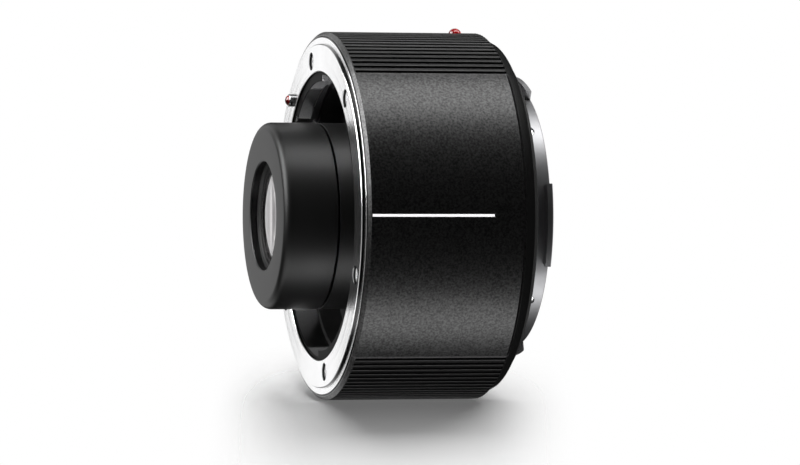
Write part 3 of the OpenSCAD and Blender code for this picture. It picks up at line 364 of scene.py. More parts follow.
class Finish(Graph):
    """A procedural material on Object coordinates."""

    def __init__(self, name):
        self.material = bpy.data.materials.new(name)
        self.material.use_nodes = True
        super().__init__(self.material.node_tree)
        self.place = self.node("ShaderNodeTexCoord", {}, {}, "Object")
        self.x, self.y, self.z = self.xyz(self.place)
        self.radius = (self.y * self.y + self.z * self.z) ** 0.5

    def noise(self, scale, detail=2.0, rough=0.5):
        """Soft noise, about 0.5 on average."""
        return self.node("ShaderNodeTexNoise", {}, {
            "Vector": self.place, "Scale": scale, "Detail": detail, "Roughness": rough})

    def lines(self, value, scale, detail=2.0):
        """Noise that changes along one value only, such as turning marks."""
        return self.node("ShaderNodeTexNoise", {"noise_dimensions": "1D"}, {
            "W": value, "Scale": scale, "Detail": detail})

    def cells(self, scale, feature="SMOOTH_F1"):
        """Distance from the middles of small cells."""
        values = {"Vector": self.place, "Scale": scale}
        if feature == "SMOOTH_F1":
            values["Smoothness"] = 0.6
        return self.node("ShaderNodeTexVoronoi", {"feature": feature}, values)

    def blend(self, amount, first, second):
        """One colour faded into another."""
        mixed = self.node("ShaderNodeMix", {"data_type": "RGBA"}, {0: amount})
        made = mixed.out.node
        for index, colour in ((6, first), (7, second)):
            if isinstance(colour, Socket):
                self.tree.links.new(colour.out, made.inputs[index])
            else:
                made.inputs[index].default_value = (*colour[:3], 1)
        return Socket(self, made.outputs[2])

    def mottle(self, noise, first, second, low=0.3, high=0.75):
        """Two colours that noise mixes."""
        return self.blend(self.clamp(noise, low, high), first, second)

    def turn(self, across, up):
        """Angle round the axis, from two of its coordinates."""
        return self.node("ShaderNodeMath", {"operation": "ARCTAN2"}, {0: across, 1: up})

    def bump(self, height, depth, strength=1.0):
        """A Normal from a height."""
        return self.node("ShaderNodeBump", {}, {
            "Strength": strength, "Distance": depth, "Height": height})

    def surface(self, colour, rough, normal=None, **fixed):
        """The Principled shader, with fixed numbers on its own sockets."""
        names = {"metal": "Metallic", "specular": "Specular IOR Level", "tint": "Specular Tint",
                 "coat": "Coat Weight", "coat_rough": "Coat Roughness", "ior": "IOR",
                 "glass": "Transmission Weight"}
        values = {"Base Color": colour if isinstance(colour, Socket) else (*colour[:3], 1),
                  "Roughness": rough}
        if normal is not None:
            values["Normal"] = normal
        for key, value in fixed.items():
            values[names[key]] = (*value[:3], 1) if key == "tint" else value
        shader = self.node("ShaderNodeBsdfPrincipled", {}, values)
        self.node("ShaderNodeOutputMaterial", {}, {"Surface": shader})
        return self.material


def scaled(colour, factor):
    """A colour made lighter or darker."""
    return tuple(min(1.0, c * factor) for c in colour[:3])


def grained_paint():
    """Black paint with a fine pebbled grain, as on the barrel's smooth panels, with a painted highlight along
    the edges of the grips.
    """
    f = Finish("grained_paint")
    colour = settings().barrel.paint
    pebble = f.cells(2200)
    fine = f.noise(2300, 1.5, 0.7)
    broad = f.noise(260, 2.0)
    height = (1 - pebble) * 0.85 + fine * 0.5
    tone = f.mottle(fine, scaled(colour, 0.7), scaled(colour, 1.5))
    # A lighter line just outside each grip, on the panels' edges, is a painted highlight of a rounded edge.
    turn = f.turn(f.y.maths("ABSOLUTE"), f.z.maths("ABSOLUTE"))
    start, full, end = (math.radians(angle) for angle in (40.4, 40.9, 41.5))
    edge = (turn > start) * f.clamp(turn, full, end, 1.0, 0.0)
    tone = f.blend(edge, tone, scaled(colour, 34))
    rough = 0.36 + (fine - 0.5) * 0.2 + (broad - 0.5) * 0.06
    gloss = f.clamp(fine, 0.34, 0.66, 0.0, 0.85)
    return f.surface(tone, rough, f.bump(height, 0.000016, 0.8), specular=0.34, coat=gloss, coat_rough=0.36)


def ribbed_paint():
    """The same paint on the ribs, where the grain is finer."""
    f = Finish("ribbed_paint")
    colour = settings().barrel.paint
    fine = f.noise(3400, 2.0, 0.6)
    tone = f.mottle(fine, scaled(colour, 0.75), scaled(colour, 1.6))
    rough = 0.35 + (fine - 0.5) * 0.2
    return f.surface(tone, rough, f.bump(fine, 0.00003, 0.6), specular=0.55)


def line_paint():
    """White paint in the engraved index line."""
    f = Finish("line_paint")
    speck = f.noise(5200, 3.0)
    colour = settings().barrel.line
    tone = f.mottle(speck, scaled(colour, 0.93), colour, 0.35, 0.7)
    return f.surface(tone, 0.42 + (speck - 0.5) * 0.2, f.bump(speck, 0.000006, 0.5))


def red_enamel():
    """Glossy red of the index dome and of the lock pin's tip."""
    f = Finish("red_enamel")
    cloud = f.noise(900, 2.0)
    colour = settings().barrel.dot
    tone = f.mottle(cloud, scaled(colour, 0.86), scaled(colour, 1.08), 0.35, 0.7)
    return f.surface(tone, 0.17 + (cloud - 0.5) * 0.08, f.bump(cloud, 0.000008, 0.4),
                     coat=0.6, coat_rough=0.06)


def satin_black(name, colour, rough, turning, grain, specular):
    """Black anodised metal with faint turning marks along the axis and a fine tooth."""
    f = Finish(name)
    tooth = f.noise(grain, 2.0, 0.6)
    marks = f.lines(f.x + f.radius, turning, 3.0)
    cloud = f.noise(140, 2.0)
    tone = f.blend(f.clamp(tooth * 0.6 + cloud * 0.4, 0.3, 0.7), scaled(colour, 0.8), scaled(colour, 1.3))
    spread = rough + (marks - 0.5) * 0.07 + (tooth - 0.5) * 0.08
    return f.surface(tone, spread, f.bump(marks * 0.5 + tooth * 0.6, 0.000007, 0.5), specular=specular)


def front_chrome():
    """Bright satin chrome with fine rings from facing, with painted shade on the step's side and on the rim
    by the barrel.
    """
    f = Finish("front_chrome")
    colour = settings().mount.front
    rings = f.lines(f.radius, 7000, 3.0)
    handled = f.noise(230, 3.0)
    tone = f.mottle(handled, colour, scaled(colour, 0.95), 0.35, 0.75)
    seat, step, edge = (SEAT + 0.06) * MM, (RING_STEP + 0.02) * MM, (RING_RIM - 0.16) * MM
    # The step's side and the outer rim by the barrel are painted near black: painted shade of the gaps there.
    sunk = f.clamp(f.x, seat, seat + 0.08 * MM) * f.clamp(f.radius, step, step + 0.04 * MM, 1.0, 0.0)
    rim = f.clamp(f.radius, edge, edge + 0.06 * MM)
    tone = f.blend(sunk.maths("MAXIMUM", rim), tone, (0.03, 0.03, 0.03))
    rough = 0.17 + (rings - 0.5) * 0.10 + (handled - 0.5) * 0.06
    return f.surface(tone, rough, f.bump(rings, 0.000028, 1.0), metal=1.0)


def rear_chrome():
    """Polished chrome of the rear mount, dulled a little by wear."""
    f = Finish("rear_chrome")
    colour = settings().mount.rear
    rings = f.lines(f.x + f.radius * 0.4, 8000, 3.0)
    handled = f.noise(300, 3.0)
    tone = f.mottle(handled, colour, scaled(colour, 0.9))
    wall, end = (NECK - 0.3) * MM, (MOUNT_END - 0.3) * MM
    inside = f.clamp(f.radius, wall, wall + 0.18 * MM, 1.0, 0.0)
    inside = inside * f.clamp(f.x, end, end + 0.15 * MM, 1.0, 0.0)
    tone = f.blend(inside, tone, (0.02, 0.02, 0.02))
    rough = 0.38 + (rings - 0.5) * 0.08 + (handled - 0.5) * 0.08
    return f.surface(tone, rough, f.bump(rings, 0.0000025, 0.5), metal=1.0)


def brushed(name, colour, rough, metal=1.0):
    """Plain brushed metal of screws, springs and pins."""
    f = Finish(name)
    hair = f.lines(f.y + f.z * 0.7, 4200, 3.0)
    cloud = f.noise(900, 2.0)
    tone = f.mottle(cloud, colour, scaled(colour, 0.85))
    spread = rough + (hair - 0.5) * 0.14 + (cloud - 0.5) * 0.08
    return f.surface(tone, spread, f.bump(hair, 0.000004, 0.5), metal=metal)


def moulded(name, colour, rough, grain=2600, depth=0.00002, specular=0.45):
    """Moulded black plastic or rubber with a fine even tooth."""
    f = Finish(name)
    tooth = f.noise(grain, 3.0, 0.6)
    cloud = f.noise(180, 2.0)
    tone = f.mottle(tooth, scaled(colour, 0.8), scaled(colour, 1.35))
    spread = rough + (tooth - 0.5) * 0.16 + (cloud - 0.5) * 0.06
    return f.surface(tone, spread, f.bump(tooth, depth, 0.6), specular=specular)


def claw_black():
    """Black anodised claws, near black on their front faces; their inner walls are painted a lighter grey as
    painted light, and darker towards the bottom as painted shade.
    """
    f = Finish("claw_black")
    colour = settings().mount.claw
    tooth = f.noise(3600, 2.0, 0.6)
    marks = f.lines(f.x, 7000, 3.0)
    face = (CLAW_FACE + 0.07) * MM
    # Behind the front face the walls get the lighter grey: painted light.
    painted_lit_walls = f.clamp(f.x, face, face + 0.1 * MM)
    wall = f.mottle(tooth, scaled(colour, 0.8), scaled(colour, 1.2))
    # Darker towards the bottom: painted shade on the throat's lower side.
    wall = f.blend(f.clamp(f.z, -0.026, 0.012, 0.75, 0.0), wall, scaled(colour, 0.3))
    tone = f.blend(painted_lit_walls, scaled(colour, 0.05), wall)
    rough = 0.55 + (marks - 0.5) * 0.1 + (tooth - 0.5) * 0.1
    return f.surface(tone, rough, f.bump(marks * 0.5 + tooth * 0.6, 0.000007, 0.5), specular=0.04)


def cast_alloy():
    """Black anodised casting of the inner frame."""
    f = Finish("cast_alloy")
    pits = f.cells(1900)
    cloud = f.noise(320, 3.0)
    colour = scaled(settings().mount.claw, 0.12)
    tone = f.mottle(cloud, scaled(colour, 0.8), scaled(colour, 1.5))
    return f.surface(tone, 0.55 + (cloud - 0.5) * 0.15, f.bump(pits, 0.00003, 0.5), specular=0.35)


def light_trap():
    """Matt black with fine grooves, as inside a lens."""
    f = Finish("light_trap")
    ridge = f.node("ShaderNodeTexWave", {"bands_direction": "X"}, {
        "Vector": f.place, "Scale": 620.0, "Distortion": 0.0})
    dust = f.noise(2600, 2.0)
    tone = f.mottle(dust, (0.004, 0.004, 0.004), (0.010, 0.010, 0.010), 0.35, 0.75)
    return f.surface(tone, 0.62 + (dust - 0.5) * 0.2, f.bump(ridge, 0.00004, 0.6), specular=0.3)


def coated_glass(name, tint):
    """Optical glass with a coating that gives its reflections a hue."""
    f = Finish(name)
    smear = f.noise(120, 3.0)
    look = settings().lens
    tone = f.mottle(smear, look.glass, scaled(look.glass, 0.985), 0.3, 0.8)
    rough = f.clamp(smear, 0.35, 0.9, 0.0, 0.03)
    return f.surface(tone, rough, None, glass=1.0, ior=1.62, tint=tint)


def gold_plate():
    """Gold plating of the contacts."""
    f = Finish("gold_plate")
    scuff = f.noise(2400, 3.0)
    tone = f.mottle(scuff, (0.86, 0.60, 0.20), (0.72, 0.47, 0.14))
    return f.surface(tone, 0.2 + (scuff - 0.5) * 0.2, f.bump(scuff, 0.000003, 0.5), metal=1.0)


def shim_brass():
    """Rolled brass of the shim."""
    f = Finish("shim_brass")
    hair = f.lines(f.y, 3000, 3.0)
    tone = f.mottle(hair, (0.72, 0.52, 0.21), (0.60, 0.42, 0.16))
    return f.surface(tone, 0.28 + (hair - 0.5) * 0.2, f.bump(hair, 0.000004, 0.5), metal=1.0)


def solder_mask():
    """Green circuit board with raised copper tracks under its lacquer."""
    f = Finish("solder_mask")
    tracks = f.cells(420, "DISTANCE_TO_EDGE")
    line = f.clamp(tracks, 0.03, 0.06, 1.0, 0.0)
    speck = f.noise(3000, 2.0)
    tone = f.blend(line, (0.010, 0.085, 0.040), (0.035, 0.17, 0.075))
    return f.surface(tone, 0.3 + (speck - 0.5) * 0.15, f.bump(line, 0.00003, 0.6), coat=0.3)


def flex_film():
    """Amber film of the flex cable with its copper tracks."""
    f = Finish("flex_film")
    tracks = (f.turn(f.z, f.y) * 260).maths("SINE")
    line = f.clamp(tracks, 0.2, 0.6)
    tone = f.blend(line, (0.30, 0.13, 0.02), (0.46, 0.21, 0.05))
    return f.surface(tone, 0.3 + line * 0.1, f.bump(line, 0.00002, 0.5), coat=0.3)


FINISHES = {}
MAKERS = {maker.__name__: maker for maker in (
    grained_paint, ribbed_paint, line_paint, red_enamel, claw_black, front_chrome, rear_chrome, cast_alloy,
    light_trap, gold_plate, shim_brass, solder_mask, flex_film)}


def family(name):
    """Maker and values of a finish that is one of a family."""
    lens = settings().lens
    return {
        "nose_satin": (satin_black, lens.nose, 0.41, 9000, 5200, 0.30),
        "tube_satin": (satin_black, lens.tube, 0.42, 9000, 5200, 0.34),
        "cover_satin": (satin_black, (0.002, 0.002, 0.002), 0.4, 8000, 4200, 0.18),
        "pin_steel": (brushed, (0.30, 0.30, 0.306), 0.2),
        "screw_steel": (brushed, (0.80, 0.80, 0.81), 0.22),
        "screw_zinc": (brushed, (0.78, 0.78, 0.79), 0.3, 0.3),
        "screw_black": (brushed, (0.09, 0.09, 0.095), 0.32),
        "spring_steel": (brushed, (0.62, 0.61, 0.60), 0.3),
        "knob_plastic": (moulded, (0.010, 0.010, 0.0105), 0.42),
        "seal_rubber": (moulded, (0.007, 0.007, 0.007), 0.62, 1900, 0.00003, 0.35),
        "baffle_plastic": (moulded, (0.006, 0.006, 0.006), 0.58, 2300, 0.00003, 0.35),
        "contact_plastic": (moulded, (0.009, 0.009, 0.009), 0.45),
        "chip_plastic": (moulded, (0.012, 0.012, 0.013), 0.5, 4000),
        "front_glass": (coated_glass, lens.coating),
        "inner_glass": (coated_glass, (0.90, 0.95, 1.0)),
        "rear_glass": (coated_glass, (0.86, 1.0, 0.90)),
    }[name]


def finish(name):
    """A finish by name, made once."""
    if name not in FINISHES:
        if name in MAKERS:
            FINISHES[name] = MAKERS[name]()
        else:
            maker, *values = family(name)
            FINISHES[name] = maker(name, *values)
    return FINISHES[name]


def place(name, data):
    """A new object at the origin."""
    made = bpy.data.objects.new(name, data)
    bpy.context.scene.collection.objects.link(made)
    return made


def weld(mesh):
    """Merges doubled points and turns all faces outwards."""
    work = bmesh.new()
    work.from_mesh(mesh)
    bmesh.ops.remove_doubles(work, verts=work.verts, dist=2e-7)
    bmesh.ops.dissolve_degenerate(work, edges=work.edges, dist=2e-7)
    bmesh.ops.recalc_face_normals(work, faces=work.faces)
    work.to_mesh(mesh)
    work.free()
    mesh.shade_smooth()


def solid(name, points, faces, *moves):
    """A new piece from points and faces, moved by matrices."""
    mesh = bpy.data.meshes.new(name)
    mesh.from_pydata(points, [], faces)
    for move in moves:
        mesh.transform(move)
    weld(mesh)
    return place(name, mesh)


def prism(name, near, far):
    """A bar between two outlines with as many points, in millimetres."""
    n = len(near)
    faces = [(j, (j + 1) % n, n + (j + 1) % n, n + j) for j in range(n)]
    faces += [tuple(range(n)), tuple(range(n, 2 * n))]
    return solid(name, [Vector(p) * MM for p in near + far], faces)


def clock_point(x, radius, clock):
    """A point at a clock angle, in metres, from sizes in millimetres."""
    turn = math.radians(clock)
    return Vector((x, -radius * math.sin(turn), radius * math.cos(turn))) * MM


def apart(clock, middle):
    """Angle from one clock angle to another, from -180 to 180."""
    return (clock - middle + 180) % 360 - 180


def columns_round(sectors=(), count=256):
    """Clock angles round the axis, with a double column at each end of a sector."""
    found = []
    for i in range(count):
        clock = 360 * i / count
        if all(abs(abs(apart(clock, m)) - half) > 0.15 for m, half, _ in sectors):
            kind = next((k for m, half, k in sectors if abs(apart(clock, m)) < half), None)
            found.append((clock, 0, kind))
    for middle, half, kind in sectors:
        start, end = (middle - half) % 360, (middle + half) % 360
        found += [(start, 0, None), (start, 1, kind), (end, 0, kind), (end, 1, None)]
    return [(clock, kind) for clock, _, kind in sorted(found, key=lambda c: c[:2])]


def columns_across(middle, half, count):
    """Clock angles of one sector."""
    return [(middle - half + 2 * half * i / count, None) for i in range(count + 1)]


def turned(name, rows, columns=None, whole=True):
    """A piece turned round the axis from a closed profile, whole or as one sector."""
    columns = columns or columns_round()
    points, faces = [], []
    for clock, kind in columns:
        for x, radius in rows:
            points.append(clock_point(x, radius[kind] if isinstance(radius, dict) else radius, clock))
    n, m = len(columns), len(rows)
    for i in range(n if whole else n - 1):
        k = (i + 1) % n
        for j in range(m):
            q = (j + 1) % m
            faces.append((i * m + j, k * m + j, k * m + q, i * m + q))
    if not whole:
        faces.append(tuple(range(m)))
        faces.append(tuple((n - 1) * m + j for j in range(m)))
    return solid(name, points, faces)


def arc_rows(x, radius, size, start, end, steps):
    """Points of a rounded edge, from one angle to another round its middle."""
    angles = [math.radians(start + (end - start) * i / steps) for i in range(steps + 1)]
    return [(x + size * math.cos(a), radius + size * math.sin(a)) for a in angles]


def dome_rows(rim, half, rise, steps):
    """Points of a domed end from its rim to its tip; a negative rise points towards -X."""
    ball = (half ** 2 + rise ** 2) / (2 * rise)
    brow = math.asin(half / abs(ball))
    angles = [brow * i / steps for i in range(steps, -1, -1)]
    return [(rim + rise - ball * (1 - math.cos(a)), abs(ball) * math.sin(a)) for a in angles]


def rod(name, rows, at, clock=None, segments=48):
    """A small turned piece with its axis along X, or along the radius at a clock angle."""
    points, faces = [], []
    for i in range(segments):
        a = 2 * math.pi * i / segments
        points += [Vector((along, radius * math.cos(a), radius * math.sin(a))) * MM for along, radius in rows]
    m = len(rows)
    for i in range(segments):
        k = (i + 1) % segments
        for j in range(m - 1):
            faces.append((i * m + j, k * m + j, k * m + j + 1, i * m + j + 1))
    turns = []
    if clock is not None:
        turns = [Matrix.Rotation(math.radians(-90), 4, "Y"), Matrix.Rotation(math.radians(clock), 4, "X")]
    return solid(name, points, faces, *turns, Matrix.Translation(at))


def drill(x0, x1, radius, circle, clock):
    """A cylinder along the axis that cuts a hole."""
    return rod("drill", [(x0, 0), (x0, radius), (x1, radius), (x1, 0)], clock_point(0, circle, clock))


def drill_inwards(x, radius, r0, r1, clock):
    """A cylinder along a radius that cuts a hole."""
    return rod("drill", [(r0, 0), (r0, radius), (r1, radius), (r1, 0)], Vector((x, 0, 0)) * MM, clock)


def cube(name, corner, clock):
    """A box whose corners are placed by a rule, then turned about the axis."""
    mesh = bpy.data.meshes.new(name)
    work = bmesh.new()
    bmesh.ops.create_cube(work, size=1)
    for v in work.verts:
        v.co = Vector(corner(v.co)) * MM
    work.to_mesh(mesh)
    work.free()
    mesh.transform(Matrix.Rotation(math.radians(clock), 4, "X"))
    return place(name, mesh)


def block(x0, x1, width, r0, r1, clock):
    """A box that stands along a radius."""
    def corner(c):
        return x0 + (c.x + 0.5) * (x1 - x0), c.y * width, r0 + (c.z + 0.5) * (r1 - r0)

    return cube("block", corner, clock)


def settle(piece):
    """Turns a piece and its modifiers into one plain mesh."""
    view = bpy.context.evaluated_depsgraph_get()
    mesh = bpy.data.meshes.new_from_object(
        piece.evaluated_get(view), preserve_all_data_layers=True, depsgraph=view)
    old = piece.data
    piece.modifiers.clear()
    piece.data = mesh
    mesh.name = piece.name
    bpy.data.meshes.remove(old)
    return piece


def discard(piece):
    """Removes a piece and its mesh."""
    mesh = piece.data
    bpy.data.objects.remove(piece)
    bpy.data.meshes.remove(mesh)


def join_shapes(piece, others, operation):
    """Cuts other shapes out of a piece, or adds them to it, and removes them."""
    for other in others:
        step = piece.modifiers.new("shape", "BOOLEAN")
        step.operation = operation
        step.solver = "EXACT"
        step.object = other
    settle(piece)
    if not piece.data.polygons:
        raise RuntimeError(f"{piece.name} came out empty")
    for other in others:
        discard(other)
    return piece


def break_edges(piece, width, segments=3, limit=35):
    """Rounds the sharp edges of a piece a little, with flat faces kept flat."""
    piece.data.shade_smooth()
    step = piece.modifiers.new("edges", "BEVEL")
    step.width = width
    step.segments = segments
    step.limit_method = "ANGLE"
    step.angle_limit = math.radians(limit)
    step.harden_normals = True
    return settle(piece)


def smooth(piece, limit=30):
    """Smooth faces with sharp edges where the surface turns."""
    piece.data.shade_smooth()
    piece.data.set_sharp_from_angle(angle=math.radians(limit))
    return piece


def stand_for(piece, body, *nodes):
    """Lets a piece move with a body and stand for CAD nodes."""
    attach(piece, body)
    if nodes:
        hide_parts(*nodes)


def fit(piece, look, body, *nodes):
    """Gives a piece its finish and its body, and lets it stand for CAD nodes."""
    piece.data.materials.clear()
    piece.data.materials.append(finish(look))
    for face in piece.data.polygons:
        face.material_index = 0
    stand_for(piece, body, *nodes)


def dress(look, *nodes):
    """Gives CAD nodes a finish."""
    for name in nodes:
        mesh = NODES[name].data
        mesh.materials.clear()
        mesh.materials.append(finish(look))


class PieceTree(Graph):
    """A geometry tree with named inputs, for pieces that repeat."""

    KINDS = {"Piece": "NodeSocketObject", "Finish": "NodeSocketMaterial", "Points": "NodeSocketGeometry",
             "Count": "NodeSocketInt", "Rows": "NodeSocketInt", "First": "NodeSocketFloat",
             "Step": "NodeSocketFloat", "Turns": "NodeSocketFloat", "Radius": "NodeSocketFloat",
             "Height": "NodeSocketFloat", "Wire": "NodeSocketFloat"}

    def __init__(self, name, inputs):
        super().__init__(bpy.data.node_groups.new(name, "GeometryNodeTree"))
        face = self.tree.interface
        self.ids = {}
        for key in inputs:
            socket = face.new_socket(name=key, in_out="INPUT", socket_type=self.KINDS[key])
            self.ids[key] = socket.identifier
        face.new_socket(name="Geometry", in_out="OUTPUT", socket_type="NodeSocketGeometry")
        first = self.node("NodeGroupInput")
        self.inputs = {key: self.part(first, key) for key in inputs}

    def close(self, points, turn):
        """Puts the piece on the points, turned about the axis, as one mesh with its finish."""
        shape = self.node("GeometryNodeObjectInfo", {}, {"Object": self.inputs["Piece"]}, "Geometry")
        spin = self.node("ShaderNodeCombineXYZ", {}, {"X": turn})
        copies = self.node("GeometryNodeInstanceOnPoints", {}, {
            "Points": points, "Instance": shape, "Rotation": spin})
        return self.end(copies)

    def end(self, shape):
        """Gives the shape out as one mesh with its finish."""
        solid = self.node("GeometryNodeRealizeInstances", {}, {"Geometry": shape})
        painted = self.node("GeometryNodeSetMaterial", {}, {
            "Geometry": solid, "Material": self.inputs["Finish"]})
        self.node("NodeGroupOutput", {}, {"Geometry": painted})
        return self


def row_tree():
    """Pieces at even steps round the axis, in one or more rows that face each other."""
    t = PieceTree("pieces_round_the_axis", ("Piece", "Finish", "Count", "Rows", "First", "Step"))
    count, rows = t.inputs["Count"], t.inputs["Rows"]
    points = t.node("GeometryNodePoints", {}, {"Count": count * rows})
    index = t.node("GeometryNodeInputIndex")
    row = (index / count).maths("FLOOR")
    turn = t.inputs["First"] + t.inputs["Step"] * (index - row * count) + row * (2 * math.pi) / rows
    return t.close(points, turn)


def point_tree():
    """Pieces at given points, each turned by the point's own angle."""
    t = PieceTree("pieces_at_points", ("Points", "Piece", "Finish"))
    turn = t.node("GeometryNodeInputNamedAttribute", {"data_type": "FLOAT"}, {"Name": "turn"})
    return t.close(t.inputs["Points"], turn)


def spring_tree():
    """Round wire wound evenly along Z."""
    t = PieceTree("wound_spring", ("Finish", "Turns", "Radius", "Height", "Wire"))
    path = t.node("GeometryNodeCurveSpiral", {}, {
        "Resolution": 24, "Rotations": t.inputs["Turns"], "Start Radius": t.inputs["Radius"],
        "End Radius": t.inputs["Radius"], "Height": t.inputs["Height"]})
    wire = t.node("GeometryNodeCurvePrimitiveCircle", {}, {"Resolution": 10, "Radius": t.inputs["Wire"]})
    return t.end(t.node("GeometryNodeCurveToMesh", {}, {
        "Curve": path, "Profile Curve": wire, "Fill Caps": True}))


def grow(name, tree, piece, look, points=(), **values):
    """Runs a piece tree, keeps its result as a plain mesh and removes the pattern piece."""
    mesh = bpy.data.meshes.new(name)
    mesh.from_pydata([p for p, _ in points], [], [])
    if points:
        mesh.attributes.new("turn", "FLOAT", "POINT").data.foreach_set("value", [a for _, a in points])
    host = place(name, mesh)
    step = host.modifiers.new("pieces", "NODES")
    step.node_group = tree.tree
    if piece:
        step[tree.ids["Piece"]] = piece
    step[tree.ids["Finish"]] = finish(look)
    for key, value in values.items():
        step[tree.ids[key]] = value
    settle(host)
    if not host.data.polygons:
        raise RuntimeError(f"{name} came out empty")
    if piece:
        discard(piece)
    return host


def screw(head, thick, shank, length, direction=1):
    """A pan-headed cross screw with its head's face at the origin, driven along X."""
    rows = [(0.0, 0.0), (0.0, head * 0.72), (thick * 0.06, head * 0.88), (thick * 0.22, head * 0.97),
            (thick * 0.4, head), (thick, head), (thick, shank), (thick + length, shank),
            (thick + length, 0.0)]
    made = rod("screw", rows, Vector(), segments=40)

    def corner(c):
        if c.x > 0:
            return 0.55 * thick, c.y * head * 0.92, c.z * head * 0.16
        return -0.2, c.y * head * 1.25, c.z * head * 0.27

    join_shapes(made, [cube("slot", corner, turn) for turn in (0, 90)], "DIFFERENCE")
    smooth(made, 28)
    if direction < 0:
        made.data.transform(Matrix.Rotation(math.pi, 4, "Z"))
    return made


def stand_up(piece, x, radius):
    """Turns a screw so that it is driven inwards from a radius, at the top."""
    piece.data.transform(Matrix.Rotation(math.radians(90), 4, "Y"))
    piece.data.transform(Matrix.Translation(Vector((x, 0, radius)) * MM))
    return piece


def sag(curve, radius):
    """How far a lens surface falls back at a radius."""
    return math.copysign(abs(curve) - math.sqrt(curve * curve - radius * radius), curve)


def lens_rows(vertex, thickness, radius, front, rear, steps=28):
    """Profile of a lens from its front vertex round to its rear vertex."""
    radii = [radius * i / steps for i in range(steps + 1)]
    rows = [(vertex + sag(front, r), r) for r in radii]
    rows += [(vertex + thickness - sag(rear, r), r) for r in reversed(radii)]
    return rows


class TELECONVERTER_OT_barrel(bpy.types.Operator):
    """Make the barrel with its index line, index dome, rear cover and seal"""

    bl_idname = "teleconverter.barrel"
    bl_label = "Barrel"
    bl_options = {"REGISTER", "UNDO"}

    def execute(self, context):
        """Makes the shell, then what sits on it."""
        barrel = settings().barrel
        r = barrel.radius / MM
        self.shell(r, r - barrel.rib_height / MM)
        self.dome(r)
        edge = 33.65
        rows = [(TAIL, COVER_BORE), (TAIL, r - 0.75), (COVER_END - 0.15, edge + 0.15), (COVER_END, edge),
                (COVER_END, COVER_BORE)]
        cover = turned("rear_cover", rows)
        fit(break_edges(cover, 0.12 * MM), "cover_satin", "converter", "rear_cover_ring")
        bore, lip = COVER_BORE - 0.02, 0.1
        rows = [(COVER_END, bore), (COVER_END, 32.0), (-0.6, 31.95), (lip, 31.7), (lip, 31.4), (-0.3, bore)]
        seal = turned("rear_seal", rows)
        fit(break_edges(seal, 0.12 * MM), "seal_rubber", "converter", "mount_seal")
        return {"FINISHED"}

    def shell(self, r, floor):
        """The shell is turned with two sunk grips and the engraved line, which is filled with paint."""
        depth, start, end = 0.12, LIP + 0.75, LIP + 24.5
        grip = {None: r, "grip": floor, "line": r}
        line = {None: r, "grip": floor, "line": r - depth}
        lead = {None: r, "grip": r, "line": r - depth}
        inner, ledge, bevel = r - 2, r - 0.9, 0.6
        rows = [(LIP, ledge), (LIP, r - bevel), (LIP + bevel, r), (start, r), (start, lead),
                (GRIP_START, lead), (GRIP_START, line), (end, line), (end, grip), (TAIL - TAIL_BEVEL, grip),
                (TAIL - 0.23, floor), (TAIL, r - TAIL_BEVEL), (TAIL, inner), (RING_BACK, inner),
                (RING_BACK, ledge)]
        sectors = [(0, GRIP_HALF, "grip"), (180, GRIP_HALF, "grip"), (INDEX_CLOCK, LINE_HALF, "line")]
        shell = turned("barrel_shell", rows, columns_round(sectors, 288))
        slot = block(SEAT + 3.7, SEAT + 8.4, 3.0, r - 4, r + 3, KNOB_CLOCK)
        join_shapes(shell, [slot], "DIFFERENCE")
        fit(break_edges(shell, 0.09 * MM, 2), "grained_paint", "converter", "outer_barrel")
        gap, low, high = 0.01, r - depth - 0.02, r - 0.03
        rows = [(start + gap, low), (start + gap, high), (end - gap, high), (end - gap, low)]
        strip = turned("index_line", rows, columns_across(INDEX_CLOCK, LINE_HALF - 0.008, 6), False)
        fit(smooth(strip), "line_paint", "converter")

    def dome(self, r):
        """The index dome is the cap of a ball on a short round base."""
        low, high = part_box("index_dome")
        half, rise, base, rim = 1.25, 0.975, r - 0.6, r - 0.05
        rows = [(base, 0), (base, half), (rim - 0.01, half)] + dome_rows(rim, half, rise, 14)
        dome = rod("index_dome_cap", rows, Vector(((low.x + high.x) / 2, 0, 0)), DOME_CLOCK, 40)
        fit(smooth(dome, 40), "red_enamel", "converter", "index_dome")


class TELECONVERTER_OT_ribs(bpy.types.Operator):
    """Make the ribs of the two grips"""

    bl_idname = "teleconverter.ribs"
    bl_label = "Grip ribs"
    bl_options = {"REGISTER", "UNDO"}

    def execute(self, context):
        """One rib with rounded edges is repeated round the axis."""
        size = settings().barrel
        r, half = size.radius / MM, size.rib_width / MM / 2
        root = r - size.rib_height / MM - 0.03
        side = [(half, root), (half, r - 0.11), (half - 0.03, r - 0.045), (half - 0.09, r - 0.01),
                (half - 0.16, r)]
        section = [(-y, z) for y, z in side] + side[::-1]
        near = [(GRIP_START - 0.01, y, z) for y, z in section]
        far = [(TAIL - TAIL_BEVEL + r - z, y, z) for y, z in section]
        rib = smooth(prism("rib", near, far), 40)
        first = -size.rib_step * (size.rib_count - 1) / 2
        ribs = grow("grip_ribs", row_tree(), rib, "ribbed_paint",
                    Count=size.rib_count, Rows=2, First=first, Step=size.rib_step)
        stand_for(ribs, "converter", "outer_barrel")
        return {"FINISHED"}


